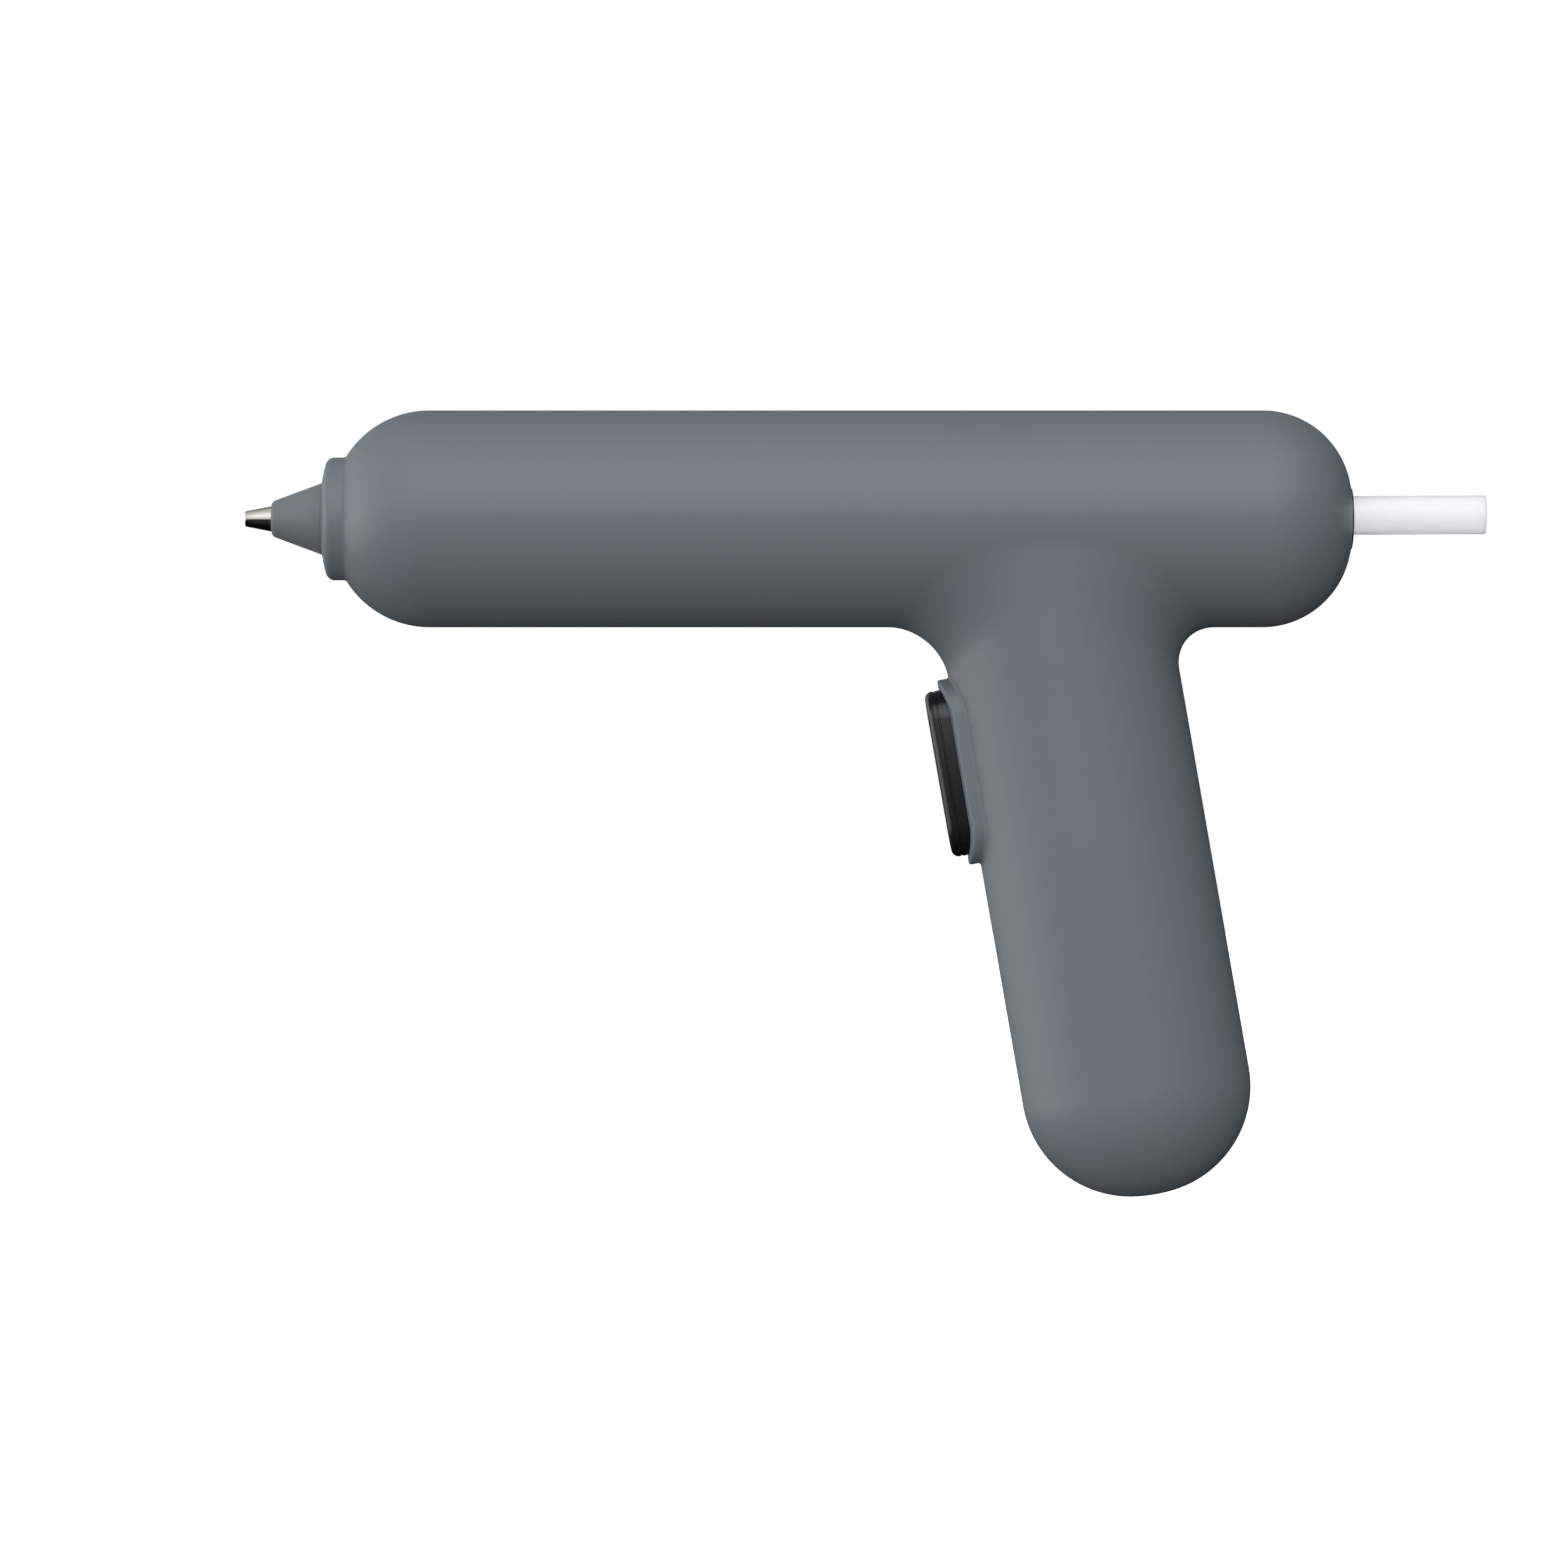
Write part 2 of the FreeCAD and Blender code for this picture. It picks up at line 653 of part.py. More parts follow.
def switch_plunger():
    y0 = board_y + board_thickness
    return rod_y(1.5, y0 + 0.9 + button_travel + 0.05, button_bottom(), button_x, 0)


def button_bottom():
    return board_y + board_thickness + switch_height + button_travel + 0.2


def status_led():
    y0 = board_y + board_thickness
    return box(button_x + 6.2, button_x + 7.8, y0 + 0.02, y0 + 0.8, -0.6, 0.6)


def power_button():
    y0 = button_bottom()
    cap = rod_y(button_radius - slide_gap / 2, y0, far / 4, button_x, 0)
    cap = join(cap, rod_y(button_radius + 1.0, y0, y0 + 0.7, button_x, 0))
    return cap.common(rod_x(button_top - 0.1, 0, barrel_rear))


def button_ring():
    ring = rod_y(button_radius + 1.45, button_bottom() + 1.1, far / 4, button_x, 0)
    ring = ring.cut(rod_y(button_radius + slide_gap / 2, 0, far / 2, button_x, 0))
    return ring.common(rod_x(button_top, 0, barrel_rear))


def battery_cell():
    cell = rod(cell_r, Vector(cell_offset, 0, -cell_end), Vector(cell_offset, 0, -cell_top - 1.0))
    cell = cell.makeFillet(0.8, [e for e in cell.Edges if isinstance(e.Curve, Part.Circle)])
    button = rod(2.8, Vector(cell_offset, 0, -cell_top - 1.1), Vector(cell_offset, 0, -cell_top))
    return lean(join(cell, button))


def battery_cradle():
    v0, v1 = cell_top - 2.0, cell_end + 2.0
    tube = rod(cradle_r, Vector(cell_offset, 0, -v1), Vector(cell_offset, 0, -v0))
    bed = rod(cell_r + 0.1, Vector(cell_offset, 0, -v1 + 1.4), Vector(cell_offset, 0, -v0 - 1.4))
    tube = tube.cut(bed)
    tube = tube.cut(box(-far, cell_offset - 2.0, -far, far, -far, 0))
    return lean(tube).common(handle_form(wall + 0.1))


def contact(v0, v1):
    plate = rod(6.0, Vector(cell_offset, 0, -v1), Vector(cell_offset, 0, -v0))
    tab = box(-1.6, cell_offset, -2.0, 2.0, -v1, -v0)
    tail = box(-1.6, -0.2, 1.0, 9.0, -v1, -v0)
    return lean(join(plate, tab, tail))


def battery_contact_top():
    return contact(cell_top - 0.5, cell_top - 0.05)


def battery_contact_bottom():
    return contact(cell_end + 0.05, cell_end + 0.5)


def charge_board():
    v = charge_board_v
    return lean(box(-9, 9, -8, 8, -v - 1.15, -v - 0.05))


def usb_port_shell():
    v0 = charge_board_v + 1.2
    v1 = v0 + port_depth
    skin = port_block(0, v0, v1).cut(port_block(-0.3, v0 + 0.4, v1 + 1))
    return lean(skin)


def usb_port_tongue():
    v0 = charge_board_v + 1.2 + 0.4
    return lean(box(-3.2, 3.2, -0.35, 0.35, -v0 - port_depth + 1.4, -v0))


def housing_screws():
    screws = []
    for place in screw_places():
        shank = rod_y(screw_radius, 5.0 - screw_length, 5.05, place.x, place.z)
        head = rod_y(screw_head_radius, 5.05, 6.9, place.x, place.z)
        head = head.makeFillet(0.6, [e for e in head.Edges if e.BoundBox.YMin > 6.8])
        cross = [box(place.x - 1.4, place.x + 1.4, 6.0, 8, place.z - 0.3, place.z + 0.3),
                 box(place.x - 0.3, place.x + 0.3, 6.0, 8, place.z - 1.4, place.z + 1.4)]
        screws.append(join(shank, head).cut(Part.makeCompound(cross)))
    return Part.makeCompound(screws)


def lead(radius, points):
    """A wire along straight runs joined by arcs as large as the runs allow."""
    edges, start = [], points[0]
    for before, corner, after in zip(points, points[1:], points[2:]):
        back, ahead = (before - corner), (after - corner)
        trim = 0.45 * min(back.Length, ahead.Length)
        back.normalize()
        ahead.normalize()
        enter, leave = corner + back * trim, corner + ahead * trim
        inward = back + ahead
        half_turn = (math.pi - back.getAngle(ahead)) / 2
        bend = trim / math.tan(half_turn)
        inward.normalize()
        middle = corner + inward * (bend / math.cos(half_turn) - bend)
        print("lead bend radius", round(bend, 1))
        edges += [Part.LineSegment(start, enter).toShape(), Part.Arc(enter, middle, leave).toShape()]
        start = leave
    edges.append(Part.LineSegment(start, points[-1]).toShape())
    section = Part.Wire(Part.makeCircle(radius, points[0], points[1] - points[0]))
    return Part.Wire(edges).makePipeShell([section], True, True)


def beside(points, shift):
    return [p + shift for p in points]


def heater_leads():
    end = heater_x() + heater_length
    z = lead_height()
    route = [Vector(end + 0.35, 1.4, heater_z() + 1.0), Vector(end + 4.1, 1.4, z - 0.2),
             Vector(rear_support_x + 5, 1.4, z + 0.15), Vector(-62, 3.0, 12.0), Vector(-40, 4.5, 12.8),
             Vector(-18, 6.0, 12.4), Vector(3, 8.0, 12.2), Vector(16, 10.4, 11.6),
             Vector(22.5, board_y + 0.8, board_width / 2 + lead_gap)]
    other = beside(route, Vector(0, -2.8, 0))[:3] + beside(route, Vector(0, -2.2, 0))[3:6]
    other += [Vector(2, 5.6, 12.6), Vector(15, 8.6, 12.8), Vector(25.5, board_y + 0.8, board_width / 2 + lead_gap)]
    return Part.makeCompound([lead(0.6, route), lead(0.6, other)])


def sensor_leads():
    z = -lead_height()
    route = [Vector(thermistor_x() + 4.2, 0.45, -chamber_r - 1.0), Vector(thermistor_x() + 6.7, 0.5, z + 0.4),
             Vector(rear_support_x + 5, 0.5, z), Vector(-60, 3.0, -11.0), Vector(-38, 7.0, -11.8),
             Vector(-16, 8.2, -11.2), Vector(4, 7.6, -10.6), Vector(17, 7.4, -10.2),
             Vector(24, 9.2, -10.4), Vector(28, board_y + 0.8, -board_width / 2 - lead_gap)]
    shift = Vector(0, -1.0, 0)
    other = beside(route[:-1], shift) + [Vector(30, board_y + 0.8, -board_width / 2 - lead_gap)]
    return Part.makeCompound([lead(0.4, route), lead(0.4, other)])


def battery_lead_positive():
    return lead(0.7, [lean_point(-0.9, 8.0, cell_top - 0.6), lean_point(-0.9, 8.4, 34), lean_point(-0.4, 9.0, 27),
                      Vector(6.2, 9.8, -20.5), Vector(10.0, 9.8, -15.4), Vector(16.5, 9.8, -13.0),
                      Vector(22.3, board_y + 0.8, -board_width / 2 - lead_gap)])


def battery_lead_negative():
    return lead(0.7, [lean_point(-0.9, 8.0, cell_end - 0.2), lean_point(-0.8, 10.4, cell_end - 8),
                      lean_point(-0.7, 11.4, 80), lean_point(-0.9, 11.6, 58), lean_point(-0.9, 11.4, 38),
                      Vector(5.6, 12.0, -22), Vector(9.6, 12.0, -14.0), Vector(15.0, 12.0, -10.8),
                      Vector(19.4, board_y + 0.8, -board_width / 2 - lead_gap)])


nodes = {
    "housing_left": lambda: shell(-1),
    "housing_right": lambda: shell(1),
    "front_collar": front_collar,
    "nozzle_sleeve": nozzle_sleeve,
    "nozzle_tip": nozzle_tip,
    "melt_chamber": melt_chamber,
    "heater_plate": heater_plate,
    "heater_clip": heater_clip,
    "front_support": front_support,
    "rear_support": rear_support,
    "heat_shield": heat_shield,
    "thermistor": thermistor,
    "inlet_seal": inlet_seal,
    "seal_clamp": seal_clamp,
    "glue_stick": glue_stick,
    "stick_guide": stick_guide,
    "stick_inlet_ring": stick_inlet_ring,
    "carriage": carriage,
    "carriage_pin": carriage_pin,
    "grip_pawl": grip_pawl,
    "pawl_hinge_pin": pawl_hinge_pin,
    "feed_lever": feed_lever,
    "lever_pivot_pin": lever_pivot_pin,
    "trigger": trigger,
    "trigger_link_pin": trigger_link_pin,
    "trigger_spring": trigger_spring,
    "main_board": main_board,
    "board_parts": board_parts,
    "power_switch": power_switch,
    "switch_plunger": switch_plunger,
    "status_led": status_led,
    "power_button": power_button,
    "button_ring": button_ring,
    "battery_cell": battery_cell,
    "battery_cradle": battery_cradle,
    "battery_contact_top": battery_contact_top,
    "battery_contact_bottom": battery_contact_bottom,
    "charge_board": charge_board,
    "usb_port_shell": usb_port_shell,
    "usb_port_tongue": usb_port_tongue,
    "housing_screws": housing_screws,
    "heater_leads": heater_leads,
    "sensor_leads": sensor_leads,
    "battery_lead_positive": battery_lead_positive,
    "battery_lead_negative": battery_lead_negative,
}

os.makedirs("parts", exist_ok=True)
for name, make in nodes.items():
    shape = make()
    solids = shape.Solids
    if not shape.isValid() or not solids:
        raise ValueError(name + " is not a valid closed solid")
    if len(solids) == 1:
        shape = solids[0]
    shape.exportStep("parts/" + name + ".step")
    print(name, "solids", len(solids), "volume", round(sum(s.Volume for s in solids), 2))
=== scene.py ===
"""The looks of a cordless glue gun: its moulded shells, nose, trigger, stick, button and screws."""
import json
import math

import bpy
import numpy as np
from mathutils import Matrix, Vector


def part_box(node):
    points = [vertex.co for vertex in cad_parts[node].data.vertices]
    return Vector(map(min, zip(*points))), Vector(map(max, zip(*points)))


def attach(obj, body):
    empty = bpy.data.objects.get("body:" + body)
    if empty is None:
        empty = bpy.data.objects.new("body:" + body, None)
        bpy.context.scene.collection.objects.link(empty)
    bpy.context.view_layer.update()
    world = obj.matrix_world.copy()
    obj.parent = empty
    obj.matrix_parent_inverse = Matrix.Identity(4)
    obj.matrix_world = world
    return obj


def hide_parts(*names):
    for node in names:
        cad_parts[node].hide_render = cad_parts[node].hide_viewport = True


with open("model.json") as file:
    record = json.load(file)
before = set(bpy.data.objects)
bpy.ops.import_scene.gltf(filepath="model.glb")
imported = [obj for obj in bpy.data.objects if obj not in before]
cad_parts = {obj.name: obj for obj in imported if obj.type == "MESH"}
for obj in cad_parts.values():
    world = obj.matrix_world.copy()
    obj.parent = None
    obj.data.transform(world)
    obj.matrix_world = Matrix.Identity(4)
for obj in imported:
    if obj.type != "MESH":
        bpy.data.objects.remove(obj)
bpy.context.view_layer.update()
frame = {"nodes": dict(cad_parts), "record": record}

MM = 0.001
MERGE = 0.01 * MM
nodes = frame["nodes"]

# shell sizes, in metres, about the point where the handle's axis crosses the barrel's axis
shell_low, shell_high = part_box("housing_left")
BARREL_R = shell_high.z
REAR_X = shell_high.x
SEAT_X = shell_low.x
FRONT_ROUND = 17.6 * MM
REAR_ROUND = 15.9 * MM
FRONT_X = -126.9 * MM
HALF_WIDTH = 20.6 * MM
HALF_DEPTH = 18.5 * MM
HANDLE_LENGTH = 123.3 * MM
HANDLE_ROUND = 19.5 * MM
LEAN = math.radians(9.9)
WALL = 2.2 * MM
SEAM = 0.05 * MM
FRONT_BLEND = 11.0 * MM
REAR_BLEND = 6.5 * MM
SIDE_BLEND = 14.0 * MM
LEAST_BLEND = 0.02 * MM
EVEN_MESH = 0.8 * MM
FAIRING_PASSES = 5

# the trigger and its raised frame: a slot outline, its middle down the handle's axis
SLOT_HALF = 9.55 * MM
TRIGGER_R = 5.5 * MM
FRAME_R = 7.3 * MM
SLOT_MIDDLE = 42.38 * MM
TRIGGER_FACE = 25.4 * MM
FRAME_RISE = 2.1 * MM
FRAME_FOOT = 0.5 * MM
TRIGGER_HOLE = TRIGGER_R + 0.3 * MM

# small parts
SCREW_APART = 6 * MM
SCREW_HEAD_TOP = 6.85 * MM
SCREW_HOLE = 2.5 * MM
PORT_HALF = 2.84 * MM
STICK_R = 3.5 * MM
STICK_LENGTH = 150.0 * MM


# ---------------------------------------------------------------- modelling by hand

def deselect():
    bpy.ops.object.select_all(action="DESELECT")


def activate(obj):
    deselect()
    obj.select_set(True)
    bpy.context.view_layer.objects.active = obj


def settle(obj):
    """Puts the object's place into its mesh."""
    activate(obj)
    bpy.ops.object.transform_apply(location=True, rotation=True, scale=True)


def in_edit(obj, mode="VERT"):
    activate(obj)
    bpy.ops.object.mode_set(mode="EDIT")
    bpy.ops.mesh.select_mode(type=mode)


def out_of_edit():
    bpy.ops.object.mode_set(mode="OBJECT")


def pick(obj, test):
    """Selects the vertices whose place passes the test."""
    out_of_edit()
    for v in obj.data.vertices:
        v.select = bool(test(v.co))
    for e in obj.data.edges:
        e.select = all(obj.data.vertices[i].select for i in e.vertices)
    for f in obj.data.polygons:
        f.select = all(obj.data.vertices[i].select for i in f.vertices)
    bpy.ops.object.mode_set(mode="EDIT")


def select_only(obj, chosen, faces):
    """Selects these vertices and the edges between them, and the faces too if asked."""
    for v in obj.data.vertices:
        v.select = v.index in chosen
    for e in obj.data.edges:
        e.select = all(i in chosen for i in e.vertices)
    for f in obj.data.polygons:
        f.select = faces and all(i in chosen for i in f.vertices)


def clean(obj, merge=MERGE):
    in_edit(obj)
    bpy.ops.mesh.select_all(action="SELECT")
    bpy.ops.mesh.remove_doubles(threshold=merge)
    bpy.ops.mesh.normals_make_consistent(inside=False)
    out_of_edit()


def smooth(obj, degrees=32):
    activate(obj)
    bpy.ops.object.shade_smooth_by_angle(angle=math.radians(degrees))


def apply(obj, kind, **settings):
    activate(obj)
    modifier = obj.modifiers.new(kind.lower(), kind)
    for key, value in settings.items():
        setattr(modifier, key, value)
    bpy.ops.object.modifier_apply(modifier=modifier.name)


def cut(obj, cutter, operation="DIFFERENCE"):
    apply(obj, "BOOLEAN", operation=operation, object=cutter, solver="EXACT")
    bpy.data.objects.remove(cutter, do_unlink=True)


def join(name, *objects):
    deselect()
    for obj in objects:
        obj.select_set(True)
    bpy.context.view_layer.objects.active = objects[0]
    bpy.ops.object.join()
    objects[0].name = name
    return objects[0]


def close_end(obj):
    """Puts a face on the open end."""
    in_edit(obj, "EDGE")
    bpy.ops.mesh.select_all(action="DESELECT")
    bpy.ops.mesh.select_non_manifold()
    bpy.ops.mesh.edge_face_add()
    out_of_edit()


def arc(x, r, radius, start, end, steps):
    """Stations (x, radius) along an arc about (x, r), angles in degrees from +X."""
    turns = [math.radians(start + (end - start) * i / steps) for i in range(steps + 1)]
    return [(x + radius * math.cos(a), r + radius * math.sin(a)) for a in turns]


def turn_piece(name, stations, sides=96, closed=False):
    """Turned about X: a ring pulled along and scaled from station to station. Closed joins last to first."""
    x0, r0 = stations[0]
    deselect()
    bpy.ops.mesh.primitive_circle_add(vertices=sides, radius=r0, fill_type="NOTHING",
                                      location=(x0, 0, 0), rotation=(0, math.pi / 2, 0))
    obj = bpy.context.object
    obj.name = name
    settle(obj)
    in_edit(obj, "EDGE")
    bpy.ops.mesh.select_all(action="SELECT")
    if not closed:
        bpy.ops.mesh.edge_face_add()
    for (xa, ra), (xb, rb) in zip(stations, stations[1:]):
        bpy.ops.mesh.extrude_region_move(TRANSFORM_OT_translate={"value": (xb - xa, 0, 0)})
        bpy.ops.transform.resize(value=(1, rb / ra, rb / ra), center_override=(xb, 0, 0))
    out_of_edit()
    if not closed:
        close_end(obj)
    clean(obj)
    return obj


def slot_piece(name, stations, half=SLOT_HALF, sides=64, closed=False):
    """A slot outline pulled along X: stations are (x, end radius), and the straight half length stays."""
    x0, r0 = stations[0]
    deselect()
    bpy.ops.mesh.primitive_circle_add(vertices=sides, radius=r0, fill_type="NOTHING", location=(0, 0, 0))
    obj = bpy.context.object
    obj.name = name
    obj.rotation_euler = (0, 0, math.pi / sides)
    settle(obj)
    obj.rotation_euler = (math.pi / 2, 0, math.pi / 2)
    settle(obj)
    obj.location = (x0, 0, 0)
    settle(obj)
    in_edit(obj)
    for sign in (-1, 1):
        pick(obj, lambda co: co.z * sign > 0)
        bpy.ops.transform.translate(value=(0, 0, sign * half))
    bpy.ops.mesh.select_all(action="SELECT")
    if not closed:
        bpy.ops.mesh.edge_face_add()
    for (xa, ra), (xb, rb) in zip(stations, stations[1:]):
        bpy.ops.mesh.extrude_region_move(TRANSFORM_OT_translate={"value": (xb - xa, 0, 0)})
        out_of_edit()
        ring = {v.index for v in obj.data.vertices if v.select}
        for sign in (-1, 1):
            end = {i for i in ring if obj.data.vertices[i].co.z * sign > 0}
            select_only(obj, end, False)
            bpy.ops.object.mode_set(mode="EDIT")
            bpy.ops.transform.resize(value=(1, rb / ra, rb / ra), center_override=(xb, 0, sign * half))
            out_of_edit()
        select_only(obj, ring, True)
        bpy.ops.object.mode_set(mode="EDIT")
    out_of_edit()
    if not closed:
        close_end(obj)
    clean(obj)
    return obj


def lean(obj):
    """From the handle's own upright frame to the gun's."""
    obj.rotation_euler = (0, -LEAN, 0)
    settle(obj)


def place(obj, body, material, slot, *replaced):
    obj.data.materials.clear()
    obj.data.materials.append(material)
    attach(obj, body)
    if replaced:
        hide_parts(*replaced)
    return obj


# ---------------------------------------------------------------- the moulded body

def barrel_form():
    front = arc(FRONT_X + FRONT_ROUND, BARREL_R - FRONT_ROUND, FRONT_ROUND, 180, 90, 24)
    rear = arc(REAR_X - REAR_ROUND, BARREL_R - REAR_ROUND, REAR_ROUND, 90, 0, 24)
    return turn_piece("barrel_form", front + rear, sides=144)


def handle_form():
    end = arc(HANDLE_LENGTH - HANDLE_ROUND, HALF_WIDTH - HANDLE_ROUND, HANDLE_ROUND, 90, 0, 28)
    post = turn_piece("handle_form", [(0.0, HALF_WIDTH)] + end, sides=144)
    post.rotation_euler = (0, math.pi / 2, 0)
    settle(post)
    post.scale = (1, HALF_DEPTH / HALF_WIDTH, 1)
    settle(post)
    lean(post)
    return post


def round_ended(along, radial, radius, end, rounding):
    """Height over a cylinder whose end is rounded."""
    out, over = radial - (radius - rounding), along - (end - rounding)
    return np.hypot(np.maximum(out, 0), np.maximum(over, 0)) + np.minimum(np.maximum(out, over), 0) - rounding


def barrel_height(p):
    radial = np.hypot(p[:, 1], p[:, 2])
    front = round_ended(-p[:, 0], radial, BARREL_R, -FRONT_X, FRONT_ROUND)
    rear = round_ended(p[:, 0], radial, BARREL_R, REAR_X, REAR_ROUND)
    return np.where(p[:, 0] < 0, front, rear)


def across_handle(p):
    return p[:, 0] * math.cos(LEAN) + p[:, 2] * math.sin(LEAN)


def down_handle(p):
    return p[:, 0] * math.sin(LEAN) - p[:, 2] * math.cos(LEAN)


def handle_height(p):
    down = down_handle(p)
    radial = np.hypot(across_handle(p), p[:, 1] * HALF_WIDTH / HALF_DEPTH)
    above_start = 2 * np.maximum(-down - 1.5 * MM, 0)
    return round_ended(down, radial, HALF_WIDTH, HANDLE_LENGTH, HANDLE_ROUND) + above_start


def slope(height, p, step=0.00002):
    """The direction in which the height grows, at each point."""
    parts = []
    for axis in range(3):
        shift = np.zeros(3)
        shift[axis] = step
        parts.append((height(p + shift) - height(p - shift)) / (2 * step))
    return np.stack(parts, 1)


def body_height(p):
    """Height over the barrel and handle, run together by a rolled fillet that is wider in front."""
    over_barrel, over_handle = barrel_height(p), handle_height(p)
    barrel_way, handle_way = slope(barrel_height, p), slope(handle_height, p)
    facing = np.sum(barrel_way * handle_way, 1) / np.maximum(
        np.linalg.norm(barrel_way, axis=1) * np.linalg.norm(handle_way, axis=1), 0.001)
    forward = np.clip(-across_handle(p) / HALF_WIDTH, -1, 1)
    sideways = np.clip(np.abs(p[:, 1]) / HALF_DEPTH, 0, 1)
    ball = FRONT_BLEND * (1 + forward) / 2 + REAR_BLEND * (1 - forward) / 2 + SIDE_BLEND * sideways ** 4
    fade = np.clip((down_handle(p) + 1 * MM) / (6 * MM), 0, 1)
    reach = np.clip(ball * (1 - facing) * fade ** 2 * (3 - 2 * fade), LEAST_BLEND, None)
    inside = np.hypot(np.maximum(reach - over_barrel, 0), np.maximum(reach - over_handle, 0))
    return np.maximum(reach, np.minimum(over_barrel, over_handle)) - inside


def fair(obj):
    """Draws every vertex onto the body's true surface."""
    p = np.empty(len(obj.data.vertices) * 3)
    obj.data.vertices.foreach_get("co", p)
    p = p.reshape(-1, 3)
    for _ in range(FAIRING_PASSES):
        way = slope(body_height, p)
        steep = np.maximum(np.sum(way * way, 1), 0.2)
        p = p - way * (body_height(p) / steep)[:, None]
    obj.data.vertices.foreach_set("co", p.ravel())
    obj.data.update()


def body_form():
    """Barrel and handle joined, evenly meshed and run together where they meet."""
    body = barrel_form()
    cut(body, handle_form(), "UNION")
    apply(body, "REMESH", mode="VOXEL", voxel_size=EVEN_MESH, adaptivity=0.0)
    clean(body)
    apply(body, "SMOOTH", factor=0.5, iterations=12)
    fair(body)
    apply(body, "SMOOTH", factor=0.5, iterations=3)
    fair(body)
    body.name = "body_form"
    return body


def copied(obj, name):
    twin = obj.copy()
    twin.data = obj.data.copy()
    twin.name = name
    bpy.context.scene.collection.objects.link(twin)
    return twin


def rod_y(name, radius, y0, y1, x, z, sides=48):
    deselect()
    bpy.ops.mesh.primitive_cylinder_add(vertices=sides, radius=radius, depth=y1 - y0,
                                        location=(x, (y0 + y1) / 2, z), rotation=(math.pi / 2, 0, 0))
    obj = bpy.context.object
    obj.name = name
    settle(obj)
    return obj


def screw_places():
    """The axes of the screws, read from the middle of each one in its node."""
    node = nodes["housing_screws"]
    head = [v.co for v in node.data.vertices if v.co.y > SCREW_HEAD_TOP]
    places = []
    for co in head:
        for group in places:
            if (group[0] - co).length < SCREW_APART:
                group.append(co)
                break
        else:
            places.append([co])
    middles = []
    for group in places:
        xs, zs = [c.x for c in group], [c.z for c in group]
        middles.append(((min(xs) + max(xs)) / 2, (min(zs) + max(zs)) / 2))
    return middles


def shell_cutters(sign):
    """Everything that opens one half shell."""
    cutters = [turn_piece("nose_cut", [(SEAT_X - 6 * MM, 13 * MM), (SEAT_X, 13 * MM)]),
               turn_piece("collar_cut", [(SEAT_X - 1 * MM, 9.6 * MM), (SEAT_X + 4 * MM, 9.6 * MM)]),
               turn_piece("ring_cut", [(REAR_X - 4 * MM, 5.65 * MM), (REAR_X + 2 * MM, 5.65 * MM)])]
    slot = slot_piece("trigger_cut", [(-30 * MM, TRIGGER_HOLE), (-12 * MM, TRIGGER_HOLE)])
    slot.location = (0, 0, -SLOT_MIDDLE)
    settle(slot)
    lean(slot)
    cutters.append(slot)
    port = slot_piece("port_cut", [(HANDLE_LENGTH - 5 * MM, 1.93 * MM), (HANDLE_LENGTH + 3 * MM, 1.93 * MM)],
                      half=PORT_HALF)
    port.rotation_euler = (0, math.pi / 2, 0)
    settle(port)
    lean(port)
    cutters.append(port)
    if sign > 0:
        for x, z in screw_places():
            cutters.append(rod_y("screw_cut", SCREW_HOLE, 5 * MM, 30 * MM, x, z))
        low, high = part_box("button_ring")
        middle = (low + high) / 2
        cutters.append(rod_y("button_cut", (high.x - low.x) / 2 + 0.05 * MM, 8 * MM, 30 * MM,
                             middle.x, middle.z, 64))
    return cutters


def frame_piece(sign):
    """The raised frame around the trigger, with a soft foot, draped over the handle's round front."""
    foot = [(FRAME_FOOT * (1 - math.sin(a)), FRAME_R + FRAME_FOOT * (1 - math.cos(a)))
            for a in np.linspace(math.pi / 2, 0, 7)]
    rim = [(FRAME_RISE - 0.4 * MM * (1 - math.sin(a)), FRAME_R - 0.4 * MM * (1 - math.cos(a)))
           for a in np.linspace(0, math.pi / 2, 6)]
    hole = TRIGGER_HOLE
    lip = [(FRAME_RISE - 0.25 * MM * (1 - math.cos(a)), hole + 0.25 * MM * (1 - math.sin(a)))
           for a in np.linspace(0, math.pi / 2, 5)]
    stations = [(-2.5 * MM, FRAME_R + FRAME_FOOT)] + foot + rim + lip + [(-2.5 * MM, hole)]
    stations.append(stations[0])
    obj = slot_piece("trigger_frame", [(-h, r) for h, r in stations], closed=True)
    in_edit(obj)
    bpy.ops.mesh.select_all(action="SELECT")
    bpy.ops.mesh.bisect(plane_co=(0, sign * SEAM, 0), plane_no=(0, 1, 0), use_fill=True,
                        clear_inner=sign > 0, clear_outer=sign < 0)
    out_of_edit()
    for v in obj.data.vertices:
        v.co.x -= HALF_WIDTH * math.sqrt(1 - (v.co.y / HALF_DEPTH) ** 2)
    obj.location = (0, 0, -SLOT_MIDDLE)
    settle(obj)
    lean(obj)
    clean(obj)
    return obj


def half_shell(form, sign, name):
    """One half of the body: cut on the part line, given its wall, then opened."""
    half = copied(form, name)
    in_edit(half)
    bpy.ops.mesh.select_all(action="SELECT")
    bpy.ops.mesh.bisect(plane_co=(0, sign * SEAM, 0), plane_no=(0, 1, 0),
                        clear_inner=sign > 0, clear_outer=sign < 0)
    out_of_edit()
    clean(half, 0.00003)
    apply(half, "SOLIDIFY", thickness=WALL, offset=-1.0, use_rim=True)
    apply(half, "BEVEL", width=0.18 * MM, segments=2, limit_method="ANGLE", angle_limit=math.radians(55))
    for cutter in shell_cutters(sign):
        cut(half, cutter)
    smooth(half, 35)
    piece = frame_piece(sign)
    smooth(piece, 40)
    return join(name, half, piece)


# ---------------------------------------------------------------- the nose

